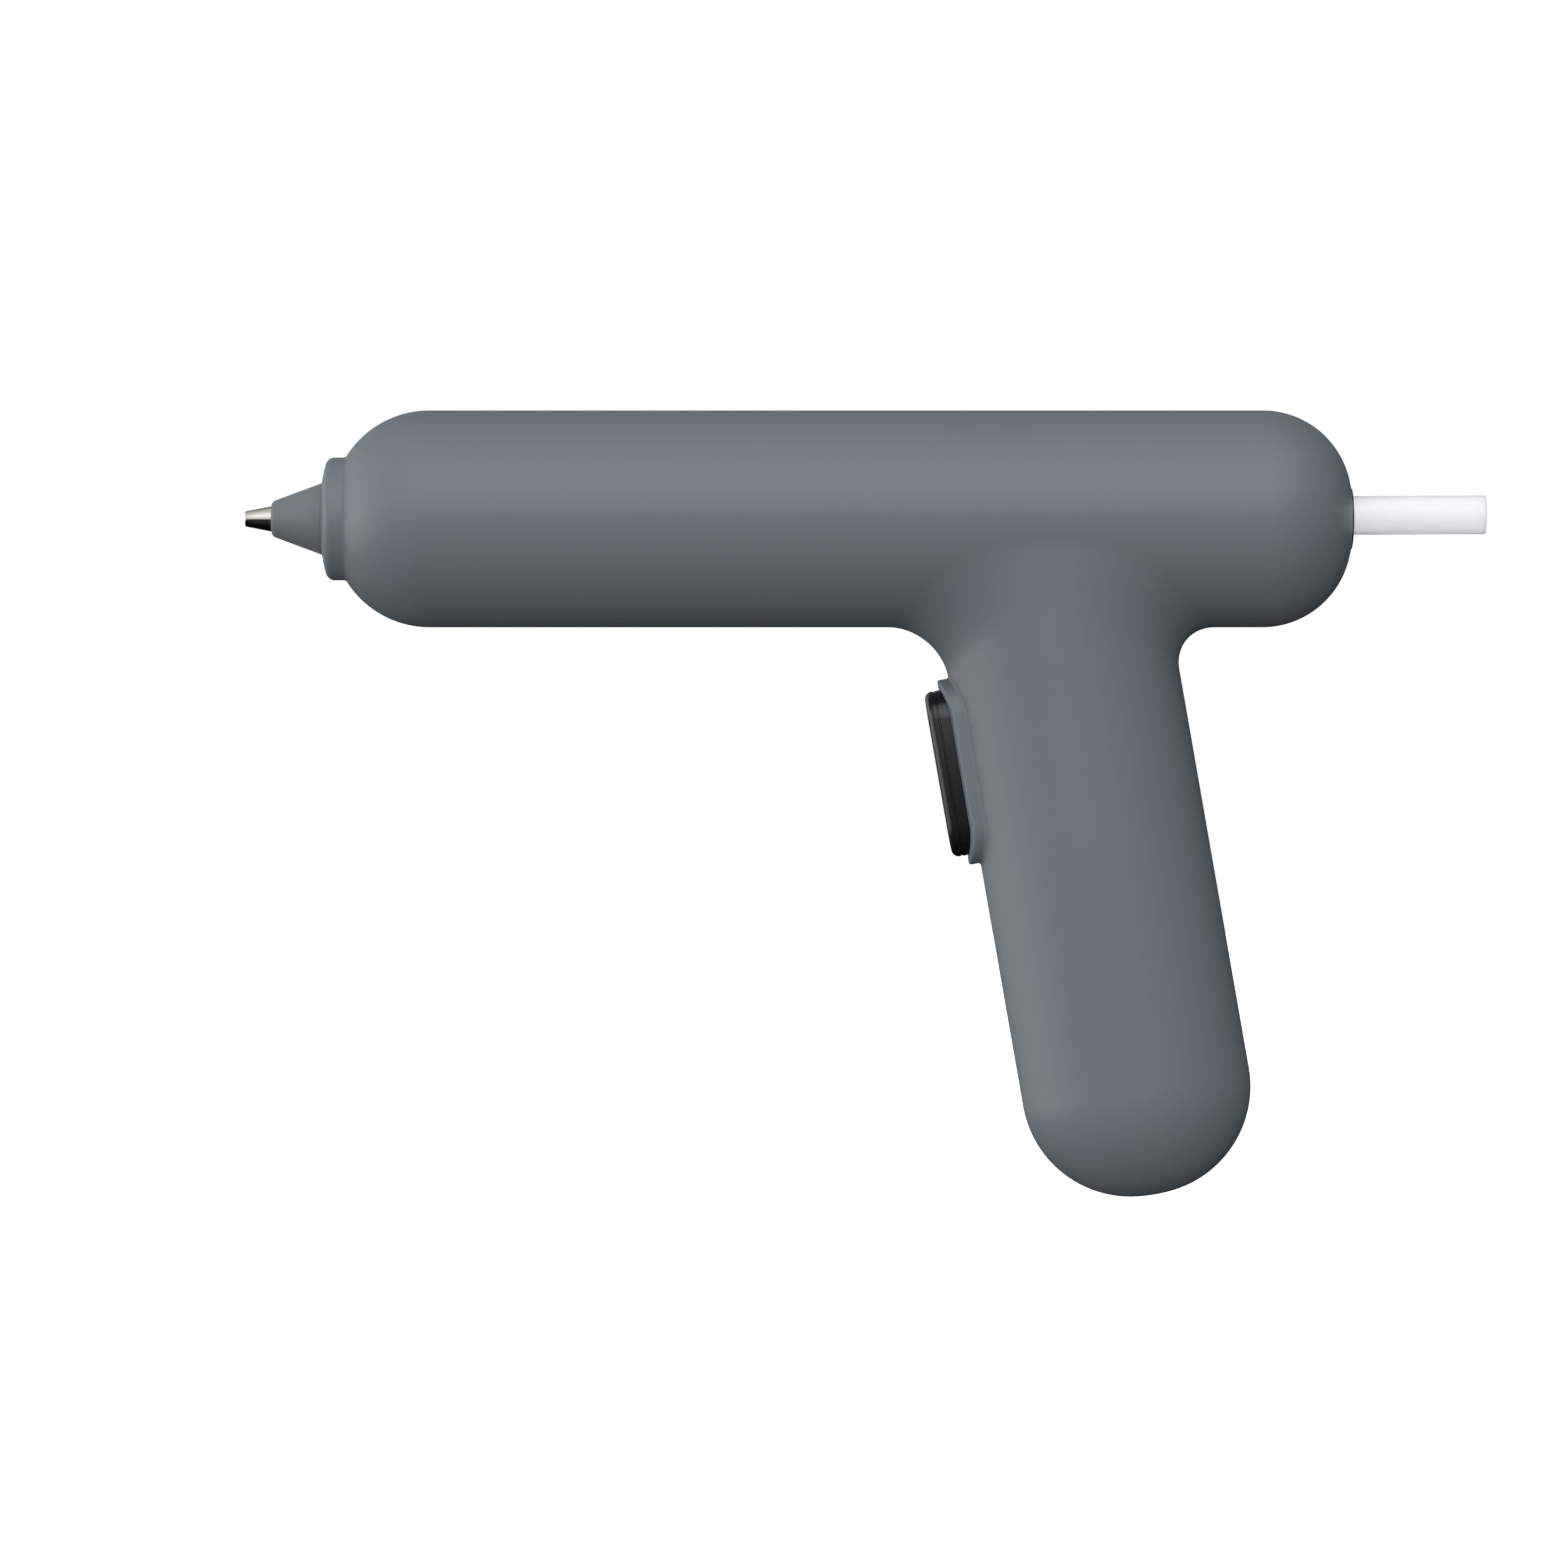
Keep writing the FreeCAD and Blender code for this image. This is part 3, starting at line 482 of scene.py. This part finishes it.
def collar_piece():
    low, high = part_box("front_collar")
    r = high.z
    x = low.x
    face = [(x + 3.9 * MM, 6.95 * MM), (x + 0.25 * MM, 6.95 * MM), (x + 0.05 * MM, 7.15 * MM), (x, 7.5 * MM)]
    dome = [(x + 0.15 * MM, 8.3 * MM), (x + 0.33 * MM, 9.1 * MM), (x + 0.47 * MM, 9.6 * MM)]
    edge = arc(x + 2.0 * MM, r - 1.5 * MM, 1.5 * MM, 167, 90, 10)
    foot = [(SEAT_X - 0.3 * MM, r), (SEAT_X + 0.05 * MM, r + 0.12 * MM), (SEAT_X + 0.45 * MM, r + 0.42 * MM),
            (SEAT_X + 0.9 * MM, r + 0.35 * MM), (SEAT_X + 0.9 * MM, 9.5 * MM)]
    back = [(high.x, 9.5 * MM), (high.x, 8.0 * MM), (x + 3.9 * MM, 8.0 * MM), (x + 3.9 * MM, 6.95 * MM)]
    obj = turn_piece("collar", face + dome + edge + foot + back, closed=True)
    smooth(obj, 34)
    return obj


def sleeve_piece():
    low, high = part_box("nozzle_sleeve")
    x = low.x
    taper = math.tan(math.radians(20.4))
    neck = 6.6 * MM
    base = x + 9.35 * MM
    lip = arc(x + 1.05 * MM, 2.4 * MM, 1.0 * MM, 176, 110.4, 9)
    cone_start = lip[-1]
    cone = [(cone_start[0] + k, cone_start[1] + k * taper)
            for k in np.linspace(0, (neck - cone_start[1]) / taper, 12)[1:]]
    body = cone + [(base + 3.5 * MM, neck), (base + 3.5 * MM, 8.3 * MM),
                   (high.x, 8.3 * MM), (high.x, 4.9 * MM)]
    inner = [(base, 4.1 * MM), (x + 0.05 * MM, 2.36 * MM)]
    obj = turn_piece("cone_sleeve", [(x + 0.05 * MM, 2.36 * MM)] + lip + body + inner, closed=True)
    smooth(obj, 38)
    return obj


def tip_piece():
    low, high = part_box("nozzle_tip")
    x = low.x
    taper = math.tan(math.radians(11.0))
    mouth = arc(x + 0.2 * MM, 1.2 * MM, 0.2 * MM, 180, 100, 5)
    cone = [(mouth[-1][0] + k, mouth[-1][1] + k * taper) for k in np.linspace(0, 16 * MM, 10)[1:]]
    back = [(high.x, cone[-1][1]), (high.x, 1.6 * MM), (x + 6.5 * MM, 1.6 * MM), (x + 4.2 * MM, 0.6 * MM),
            (x + 0.3 * MM, 0.6 * MM), (x, 0.78 * MM)]
    obj = turn_piece("metal_tip", mouth + cone + back + [mouth[0]], closed=True)
    smooth(obj, 38)
    return obj


# ---------------------------------------------------------------- trigger, stick and small pieces

def trigger_piece():
    face = -TRIGGER_FACE
    chamfer = arc(face + 1.3 * MM, TRIGGER_R - 1.3 * MM, 1.3 * MM, 90, 180, 12)
    crown = [(face - 0.02 * MM, 2.6 * MM), (face - 0.03 * MM, 1.4 * MM)]
    groove = [(face + 1.95 * MM, TRIGGER_R), (face + 1.85 * MM, TRIGGER_R - 0.14 * MM),
              (face + 1.65 * MM, TRIGGER_R - 0.14 * MM), (face + 1.55 * MM, TRIGGER_R - 0.02 * MM)]
    flange = [(-15.0 * MM, TRIGGER_R + 1.35 * MM), (-16.3 * MM, TRIGGER_R + 1.35 * MM),
              (-16.4 * MM, TRIGGER_R)]
    obj = slot_piece("trigger_button", flange + groove + chamfer + crown)
    obj.location = (0, 0, -SLOT_MIDDLE)
    settle(obj)
    lean(obj)
    smooth(obj, 42)
    return obj


def stick_piece():
    low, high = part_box("glue_stick")
    r, length = STICK_R, STICK_LENGTH
    start = arc(0.4 * MM, r - 0.4 * MM, 0.4 * MM, 180, 90, 6)
    end = arc(length - 0.4 * MM, r - 0.4 * MM, 0.4 * MM, 90, 0, 6)
    middle = [(x, r - 0.03 * MM * (1 + math.sin(x * 900)) / 2)
              for x in np.linspace(4 * MM, length - 4 * MM, 60)]
    faces = [(length - 0.15 * MM, r - 1.1 * MM), (length - 0.25 * MM, 0.8 * MM)]
    obj = turn_piece("stick", start + middle + end + faces, sides=64)
    rise = (high.z - r) / length
    obj.rotation_euler = (0, -math.asin(rise), 0)
    settle(obj)
    obj.location = (low.x, 0, 0)
    settle(obj)
    smooth(obj, 40)
    return obj


def inlet_ring_piece():
    low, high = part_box("stick_inlet_ring")
    bore, r = 4.5 * MM, 5.6 * MM
    lip = arc(high.x - 0.3 * MM, r - 0.3 * MM, 0.3 * MM, 90, 0, 5)
    mouth = [(high.x, bore + 0.5 * MM), (high.x - 0.15 * MM, bore + 0.18 * MM), (high.x - 0.5 * MM, bore)]
    back = [(low.x, bore), (low.x, r + 1.9 * MM), (low.x + 2 * MM, r + 1.9 * MM), (low.x + 2 * MM, r)]
    obj = turn_piece("inlet_ring", lip + mouth + back + [lip[0]], closed=True)
    smooth(obj, 38)
    return obj


def button_pieces():
    """The power button and the light ring around it, both finished to the barrel's curve."""
    low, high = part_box("button_ring")
    middle = (low + high) / 2
    outer, inner = (high.x - low.x) / 2, 4.45 * MM
    deselect()
    ring = rod_y("light_ring", outer, low.y, high.y + 3 * MM, middle.x, middle.z, 96)
    cut(ring, rod_y("hole", inner, low.y - 1 * MM, high.y + 5 * MM, middle.x, middle.z, 96))
    cap_low, cap_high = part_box("power_button")
    cap = rod_y("button_cap", 4.15 * MM, cap_low.y + 0.7 * MM, cap_high.y + 3 * MM, middle.x, middle.z, 96)
    for piece, radius in ((ring, BARREL_R - 0.05 * MM), (cap, BARREL_R - 0.15 * MM)):
        drum = turn_piece("drum", [(middle.x - 20 * MM, radius), (middle.x + 20 * MM, radius)], sides=256)
        cut(piece, drum, "INTERSECT")
        apply(piece, "BEVEL", width=0.25 * MM, segments=3, limit_method="ANGLE", angle_limit=math.radians(50))
        clean(piece)
        smooth(piece, 30)
    return ring, cap


def screw_piece():
    """All the screws: round heads with a cross recess and their shanks."""
    low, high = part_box("housing_screws")
    top = high.y
    made = []
    for x, z in screw_places():
        head = rod_y("head", 2.3 * MM, top - 1.85 * MM, top, x, z, 48)
        apply(head, "BEVEL", width=0.5 * MM, segments=4, limit_method="ANGLE", angle_limit=math.radians(50))
        for turn in (0, math.pi / 2):
            deselect()
            bpy.ops.mesh.primitive_cube_add(size=1, location=(x, top, z))
            blade = bpy.context.object
            blade.scale = (2.9 * MM, 2.0 * MM, 0.62 * MM)
            blade.rotation_euler = (0, turn, 0)
            settle(blade)
            cut(head, blade)
        shank = rod_y("shank", 1.29 * MM, low.y, top - 1.86 * MM, x, z, 24)
        made.append(join("screw", head, shank))
    obj = join("screws", *made)
    smooth(obj, 35)
    return obj


def port_piece():
    """The charging socket's drawn steel mouth."""
    wall = 0.3 * MM
    low = HANDLE_LENGTH - 10.1 * MM
    high = HANDLE_LENGTH - 1.5 * MM
    r = 1.63 * MM
    stations = [(low, r), (high - 0.1 * MM, r), (high, r - 0.1 * MM), (high, r - wall + 0.08 * MM),
                (high - 0.1 * MM, r - wall), (low + 0.4 * MM, r - wall), (low + 0.4 * MM, r - 0.9 * MM),
                (low, r - 0.9 * MM), (low, r)]
    obj = slot_piece("port_mouth", stations, half=PORT_HALF, closed=True)
    obj.rotation_euler = (0, math.pi / 2, 0)
    settle(obj)
    lean(obj)
    smooth(obj, 35)
    return obj


# ---------------------------------------------------------------- shader groups

def maths(tree, operation, second=None):
    node = tree.nodes.new("ShaderNodeMath")
    node.operation = operation
    if second is not None:
        node.inputs[1].default_value = second
    return node


def new_group(name, inputs, outputs):
    group = bpy.data.node_groups.new(name, "ShaderNodeTree")
    for label, kind, value in inputs:
        socket = group.interface.new_socket(name=label, in_out="INPUT", socket_type=kind)
        if value is not None:
            socket.default_value = value
    for label, kind in outputs:
        group.interface.new_socket(name=label, in_out="OUTPUT", socket_type=kind)
    return group, group.nodes.new("NodeGroupInput"), group.nodes.new("NodeGroupOutput")


def grain_group():
    """Fine moulded grain: a height and a slow variation, both over the surface."""
    group, inside, out = new_group("moulded_grain", [("Vector", "NodeSocketVector", None),
                                                     ("Grain Scale", "NodeSocketFloat", 4000.0),
                                                     ("Drift Scale", "NodeSocketFloat", 40.0)],
                                   [("Height", "NodeSocketFloat"), ("Drift", "NodeSocketFloat")])
    links = group.links
    fine = group.nodes.new("ShaderNodeTexNoise")
    fine.inputs["Detail"].default_value = 3.0
    fine.inputs["Roughness"].default_value = 0.55
    pits = group.nodes.new("ShaderNodeTexVoronoi")
    slow = group.nodes.new("ShaderNodeTexNoise")
    slow.inputs["Detail"].default_value = 2.0
    mix = maths(group, "MULTIPLY_ADD", 0.5)
    links.new(inside.outputs["Vector"], fine.inputs["Vector"])
    links.new(inside.outputs["Vector"], pits.inputs["Vector"])
    links.new(inside.outputs["Vector"], slow.inputs["Vector"])
    links.new(inside.outputs["Grain Scale"], fine.inputs["Scale"])
    links.new(inside.outputs["Grain Scale"], pits.inputs["Scale"])
    links.new(inside.outputs["Drift Scale"], slow.inputs["Scale"])
    links.new(pits.outputs["Distance"], mix.inputs[0])
    links.new(fine.outputs["Fac"], mix.inputs[2])
    links.new(mix.outputs[0], out.inputs["Height"])
    links.new(slow.outputs["Fac"], out.inputs["Drift"])
    return group


def wear_group():
    """Where edges are rubbed: 0 on open faces, rising on convex edges, broken up by noise."""
    group, inside, out = new_group("edge_wear", [("Vector", "NodeSocketVector", None),
                                                 ("Amount", "NodeSocketFloat", 0.5)],
                                   [("Mask", "NodeSocketFloat")])
    links = group.links
    geometry = group.nodes.new("ShaderNodeNewGeometry")
    ramp = group.nodes.new("ShaderNodeMapRange")
    ramp.inputs["From Min"].default_value = 0.53
    ramp.inputs["From Max"].default_value = 0.62
    noise = group.nodes.new("ShaderNodeTexNoise")
    noise.inputs["Scale"].default_value = 600.0
    first = maths(group, "MULTIPLY")
    second = maths(group, "MULTIPLY")
    links.new(geometry.outputs["Pointiness"], ramp.inputs["Value"])
    links.new(inside.outputs["Vector"], noise.inputs["Vector"])
    links.new(ramp.outputs["Result"], first.inputs[0])
    links.new(noise.outputs["Fac"], first.inputs[1])
    links.new(first.outputs[0], second.inputs[0])
    links.new(inside.outputs["Amount"], second.inputs[1])
    links.new(second.outputs[0], out.inputs["Mask"])
    return group


GRAIN = grain_group()
WEAR = wear_group()


def finish(name, colour, roughness, grain=4000.0, height=0.00001, drift=0.08, wear=0.0, wear_colour=None,
           rough_drift=0.06, **shader_values):
    """A material: its colour drifts slightly, its grain is bumped, and its edges wear."""
    material = bpy.data.materials.new(name)
    material.use_nodes = True
    tree = material.node_tree
    links = tree.links
    shader = tree.nodes["Principled BSDF"]
    for key, value in shader_values.items():
        shader.inputs[key.replace("_", " ")].default_value = value
    place_in = tree.nodes.new("ShaderNodeTexCoord")
    grains = tree.nodes.new("ShaderNodeGroup")
    grains.node_tree = GRAIN
    grains.inputs["Grain Scale"].default_value = grain
    links.new(place_in.outputs["Object"], grains.inputs["Vector"])
    tint = tree.nodes.new("ShaderNodeMix")
    tint.data_type = "RGBA"
    tint.inputs["A"].default_value = (*[c * (1 - drift) for c in colour], 1)
    tint.inputs["B"].default_value = (*[min(1, c * (1 + drift)) for c in colour], 1)
    links.new(grains.outputs["Drift"], tint.inputs["Factor"])
    colour_out = tint.outputs["Result"]
    if wear:
        worn = tree.nodes.new("ShaderNodeGroup")
        worn.node_tree = WEAR
        worn.inputs["Amount"].default_value = wear
        links.new(place_in.outputs["Object"], worn.inputs["Vector"])
        rubbed = tree.nodes.new("ShaderNodeMix")
        rubbed.data_type = "RGBA"
        rubbed.inputs["B"].default_value = (*(wear_colour or [min(1, c * 1.6) for c in colour]), 1)
        links.new(worn.outputs["Mask"], rubbed.inputs["Factor"])
        links.new(colour_out, rubbed.inputs["A"])
        colour_out = rubbed.outputs["Result"]
    links.new(colour_out, shader.inputs["Base Color"])
    spread = tree.nodes.new("ShaderNodeMapRange")
    spread.inputs["To Min"].default_value = roughness - rough_drift
    spread.inputs["To Max"].default_value = roughness + rough_drift
    links.new(grains.outputs["Drift"], spread.inputs["Value"])
    links.new(spread.outputs["Result"], shader.inputs["Roughness"])
    bump = tree.nodes.new("ShaderNodeBump")
    bump.inputs["Distance"].default_value = height
    bump.inputs["Strength"].default_value = 1.0
    links.new(grains.outputs["Height"], bump.inputs["Height"])
    links.new(bump.outputs["Normal"], shader.inputs["Normal"])
    return material


shell_finish = finish("slate_grey_shell", (0.156, 0.180, 0.202), 0.46, 3500.0, 0.000012, 0.03, wear=0.35)
sleeve_finish = finish("grey_silicone", (0.152, 0.174, 0.193), 0.55, 5200.0, 0.000012, 0.05,
                       Sheen_Weight=0.12)
nickel_finish = finish("nickel_plated_tip", (0.72, 0.70, 0.66), 0.12, 1500.0, 0.000002, 0.06,
                       rough_drift=0.03, Metallic=1.0)
gloss_finish = finish("polished_black_trigger", (0.010, 0.010, 0.011), 0.24, 900.0, 0.000002, 0.1,
                      wear=0.2, wear_colour=[0.05, 0.05, 0.05], rough_drift=0.03)
glue_finish = finish("frosted_glue", (0.93, 0.93, 0.97), 0.5, 700.0, 0.00002, 0.01,
                     Transmission_Weight=0.7, IOR=1.4)
black_finish = finish("black_nylon", (0.022, 0.022, 0.024), 0.5, 3000.0, 0.00001, 0.1, wear=0.3)
button_finish = finish("black_button", (0.02, 0.02, 0.022), 0.42, 3600.0, 0.00001, 0.1, wear=0.3)
diffuser_finish = finish("milky_diffuser", (0.72, 0.75, 0.76), 0.35, 900.0, 0.000004, 0.03,
                         Subsurface_Weight=0.4, Subsurface_Scale=0.001)
screw_finish = finish("blackened_screw", (0.10, 0.10, 0.105), 0.34, 2600.0, 0.000005, 0.2, wear=0.8,
                      wear_colour=[0.45, 0.44, 0.42], Metallic=1.0)
steel_finish = finish("bright_steel", (0.58, 0.58, 0.60), 0.28, 2200.0, 0.000003, 0.08, Metallic=1.0)
SLOT_FINISHES = {
    "shell_plastic": shell_finish,
    "sleeve_silicone": sleeve_finish,
    "nozzle_nickel": nickel_finish,
    "trigger_gloss": gloss_finish,
    "glue": glue_finish,
    "inner_plastic": black_finish,
    "button_plastic": button_finish,
    "light_diffuser": diffuser_finish,
    "screw_steel": screw_finish,
    "port_steel": steel_finish,
    "pin_steel": steel_finish,
    "spring_steel": finish("spring_wire", (0.42, 0.42, 0.43), 0.34, 2600.0, 0.000003, 0.1, Metallic=1.0),
    "contact_nickel": finish("nickel_strip", (0.62, 0.60, 0.56), 0.3, 1800.0, 0.000003, 0.08, Metallic=1.0),
    "chamber_aluminium": finish("cast_aluminium", (0.60, 0.60, 0.61), 0.48, 1400.0, 0.00003, 0.1,
                                Metallic=1.0),
    "heater_ceramic": finish("fired_ceramic", (0.80, 0.77, 0.70), 0.7, 2600.0, 0.00001, 0.06),
    "support_resin": finish("brown_resin", (0.11, 0.06, 0.035), 0.5, 1800.0, 0.00001, 0.2),
    "shield_glass_cloth": finish("glass_cloth", (0.78, 0.75, 0.66), 0.85, 1200.0, 0.0001, 0.1,
                                 Sheen_Weight=0.3),
    "seal_silicone": finish("red_silicone", (0.42, 0.06, 0.035), 0.55, 3000.0, 0.00001, 0.08),
    "circuit_board": finish("solder_mask", (0.015, 0.12, 0.05), 0.3, 1200.0, 0.00001, 0.12, Coat_Weight=0.3),
    "cell_wrap": finish("cell_sleeve", (0.03, 0.15, 0.36), 0.28, 900.0, 0.000005, 0.06, Coat_Weight=0.3),
    "lead_white": finish("braided_lead", (0.76, 0.74, 0.68), 0.8, 3000.0, 0.00005, 0.1),
    "lead_yellow": finish("yellow_lead", (0.70, 0.48, 0.04), 0.45, 2200.0, 0.000006, 0.06),
    "lead_red": finish("red_lead", (0.50, 0.018, 0.018), 0.45, 2200.0, 0.000006, 0.06),
    "lead_black": finish("black_lead", (0.015, 0.015, 0.015), 0.45, 2200.0, 0.000006, 0.06),
}


def dress_cad_nodes():
    for part in frame["record"]["subparts"]:
        node = nodes[part["node"]]
        node.data.materials.clear()
        node.data.materials.append(SLOT_FINISHES[part["material_slot"]])


# ---------------------------------------------------------------- the object

dress_cad_nodes()

form = body_form()
left = half_shell(form, -1, "shell_left")
right = half_shell(form, 1, "shell_right")
bpy.data.objects.remove(form, do_unlink=True)
place(left, "housing_body", shell_finish, "shell_plastic", "housing_left")
place(right, "housing_body", shell_finish, "shell_plastic", "housing_right")
place(collar_piece(), "housing_body", shell_finish, "shell_plastic", "front_collar")
place(sleeve_piece(), "housing_body", sleeve_finish, "sleeve_silicone", "nozzle_sleeve")
place(tip_piece(), "housing_body", nickel_finish, "nozzle_nickel", "nozzle_tip")
place(trigger_piece(), "trigger_body", gloss_finish, "trigger_gloss", "trigger")
place(stick_piece(), "stick_body", glue_finish, "glue", "glue_stick")
place(inlet_ring_piece(), "housing_body", black_finish, "inner_plastic", "stick_inlet_ring")
light_ring, button_cap = button_pieces()
place(light_ring, "housing_body", diffuser_finish, "light_diffuser", "button_ring")
place(button_cap, "button_body", button_finish, "button_plastic", "power_button")
place(screw_piece(), "housing_body", screw_finish, "screw_steel", "housing_screws")
place(port_piece(), "housing_body", steel_finish, "port_steel", "usb_port_shell")


# ---------------------------------------------------------------- studio

VIEW_WIDTH = 282.2 * MM
VIEW_MIDDLE = Vector((-45.5 * MM, 0, -47.7 * MM))
CAMERA_DISTANCE = 1.15
SENSOR = 36.0
FLOOR_SIZE = 12
FLOOR_Z = -0.215

# light levels: all round, seen through the glue, and in reflections from below and above the skyline
AMBIENT = 0.07
THROUGH_GLUE = (0.5, 1.1)
IN_GLOSS = (0.05, 1.1)
SKYLINE = (-0.03, 0.22)
SKYLINE_TILT = -0.35
LIGHT_SPREAD = 6.0
SOFT_LIGHTS = [((-1, 0, 0), 2.18), ((1, 0, 0), 0.12), ((0, 0, 1), 0.45), ((1, -1, 1), 0.44),
               ((0, -1, 1), 0.72), ((-1, 0, 1), 0.21), ((-1, 1, 0), 0.59), ((0, -2, 1), 1.36),
               ((0, -2, -1), 0.92)]
BACK_LIGHT = ((0, 1, 0.15), 1.3)


def studio():
    deselect()
    bpy.ops.mesh.primitive_plane_add(size=FLOOR_SIZE, location=(0, 0, FLOOR_Z))
    floor = bpy.context.object
    floor.name = "floor"
    settle(floor)
    pale = bpy.data.materials.new("pale_floor")
    pale.use_nodes = True
    shader = pale.node_tree.nodes["Principled BSDF"]
    shader.inputs["Base Color"].default_value = (0.93, 0.93, 0.93, 1)
    shader.inputs["Roughness"].default_value = 0.9
    shader.inputs["Specular IOR Level"].default_value = 0.0
    shader.inputs["Emission Color"].default_value = (1, 1, 1, 1)
    shader.inputs["Emission Strength"].default_value = 0.6
    floor.data.materials.append(pale)
    floor.visible_diffuse = False
    floor.visible_glossy = False


def world_light():
    """Soft light from each side. Reflections, the glue's inside and the camera each see their own levels."""
    world = bpy.data.worlds.new("studio")
    bpy.context.scene.world = world
    world.use_nodes = True
    tree = world.node_tree
    tree.nodes.clear()
    links = tree.links
    where = tree.nodes.new("ShaderNodeTexCoord")

    def lobe(direction, power, below):
        """Soft light from one side, added to the light below it (a level or a socket)."""
        facing = tree.nodes.new("ShaderNodeVectorMath")
        facing.operation = "DOT_PRODUCT"
        facing.inputs[1].default_value = Vector(direction).normalized()
        clear = maths(tree, "MAXIMUM", 0.0)
        spread = maths(tree, "POWER", LIGHT_SPREAD)
        level = maths(tree, "MULTIPLY_ADD", power)
        links.new(where.outputs["Generated"], facing.inputs[0])
        links.new(facing.outputs["Value"], clear.inputs[0])
        links.new(clear.outputs[0], spread.inputs[0])
        links.new(spread.outputs[0], level.inputs[0])
        if below is None:
            level.inputs[2].default_value = AMBIENT
        else:
            links.new(below, level.inputs[2])
        return level.outputs[0]

    total = None
    for direction, power in SOFT_LIGHTS:
        total = lobe(direction, power, total)
    with_back = lobe(*BACK_LIGHT, total)
    soft = tree.nodes.new("ShaderNodeBackground")
    white = tree.nodes.new("ShaderNodeBackground")
    seen = tree.nodes.new("ShaderNodeLightPath")
    mix = tree.nodes.new("ShaderNodeMixShader")
    out = tree.nodes.new("ShaderNodeOutputWorld")
    white.inputs["Color"].default_value = (1, 1, 1, 1)
    soft.inputs["Color"].default_value = (1, 1, 1, 1)
    split = tree.nodes.new("ShaderNodeSeparateXYZ")
    level_way = maths(tree, "ABSOLUTE")
    glow = tree.nodes.new("ShaderNodeMapRange")
    glow.inputs["To Min"].default_value = THROUGH_GLUE[0]
    glow.inputs["To Max"].default_value = THROUGH_GLUE[1]
    chosen = tree.nodes.new("ShaderNodeMix")
    skyline = tree.nodes.new("ShaderNodeMapRange")
    skyline.interpolation_type = "SMOOTHSTEP"
    skyline.inputs["From Min"].default_value = SKYLINE[0]
    skyline.inputs["From Max"].default_value = SKYLINE[1]
    skyline.inputs["To Min"].default_value = IN_GLOSS[0]
    skyline.inputs["To Max"].default_value = IN_GLOSS[1]
    mirrored = maths(tree, "MULTIPLY")
    shown = tree.nodes.new("ShaderNodeMix")
    tilted = maths(tree, "MULTIPLY_ADD", SKYLINE_TILT)
    links.new(split.outputs["X"], tilted.inputs[0])
    links.new(split.outputs["Z"], tilted.inputs[2])
    links.new(tilted.outputs[0], skyline.inputs["Value"])
    links.new(total, mirrored.inputs[0])
    links.new(skyline.outputs["Result"], mirrored.inputs[1])
    links.new(seen.outputs["Is Glossy Ray"], shown.inputs["Factor"])
    links.new(with_back, shown.inputs["A"])
    links.new(mirrored.outputs[0], shown.inputs["B"])
    links.new(where.outputs["Generated"], split.inputs["Vector"])
    links.new(split.outputs["Y"], level_way.inputs[0])
    links.new(level_way.outputs[0], glow.inputs["Value"])
    links.new(seen.outputs["Is Transmission Ray"], chosen.inputs["Factor"])
    links.new(shown.outputs["Result"], chosen.inputs["A"])
    links.new(glow.outputs["Result"], chosen.inputs["B"])
    links.new(chosen.outputs["Result"], soft.inputs["Strength"])
    links.new(seen.outputs["Is Camera Ray"], mix.inputs["Fac"])
    links.new(soft.outputs["Background"], mix.inputs[1])
    links.new(white.outputs["Background"], mix.inputs[2])
    links.new(mix.outputs["Shader"], out.inputs["Surface"])


def camera():
    data = bpy.data.cameras.new("camera")
    data.sensor_width = SENSOR
    data.lens = SENSOR * CAMERA_DISTANCE / VIEW_WIDTH
    data.clip_end = 60
    cam = bpy.data.objects.new("camera", data)
    cam.location = VIEW_MIDDLE + Vector((0, -CAMERA_DISTANCE, 0))
    cam.rotation_euler = (math.pi / 2, 0, 0)
    bpy.context.scene.collection.objects.link(cam)
    bpy.context.scene.camera = cam


studio()
world_light()
camera()
bpy.context.scene.view_settings.view_transform = "Standard"
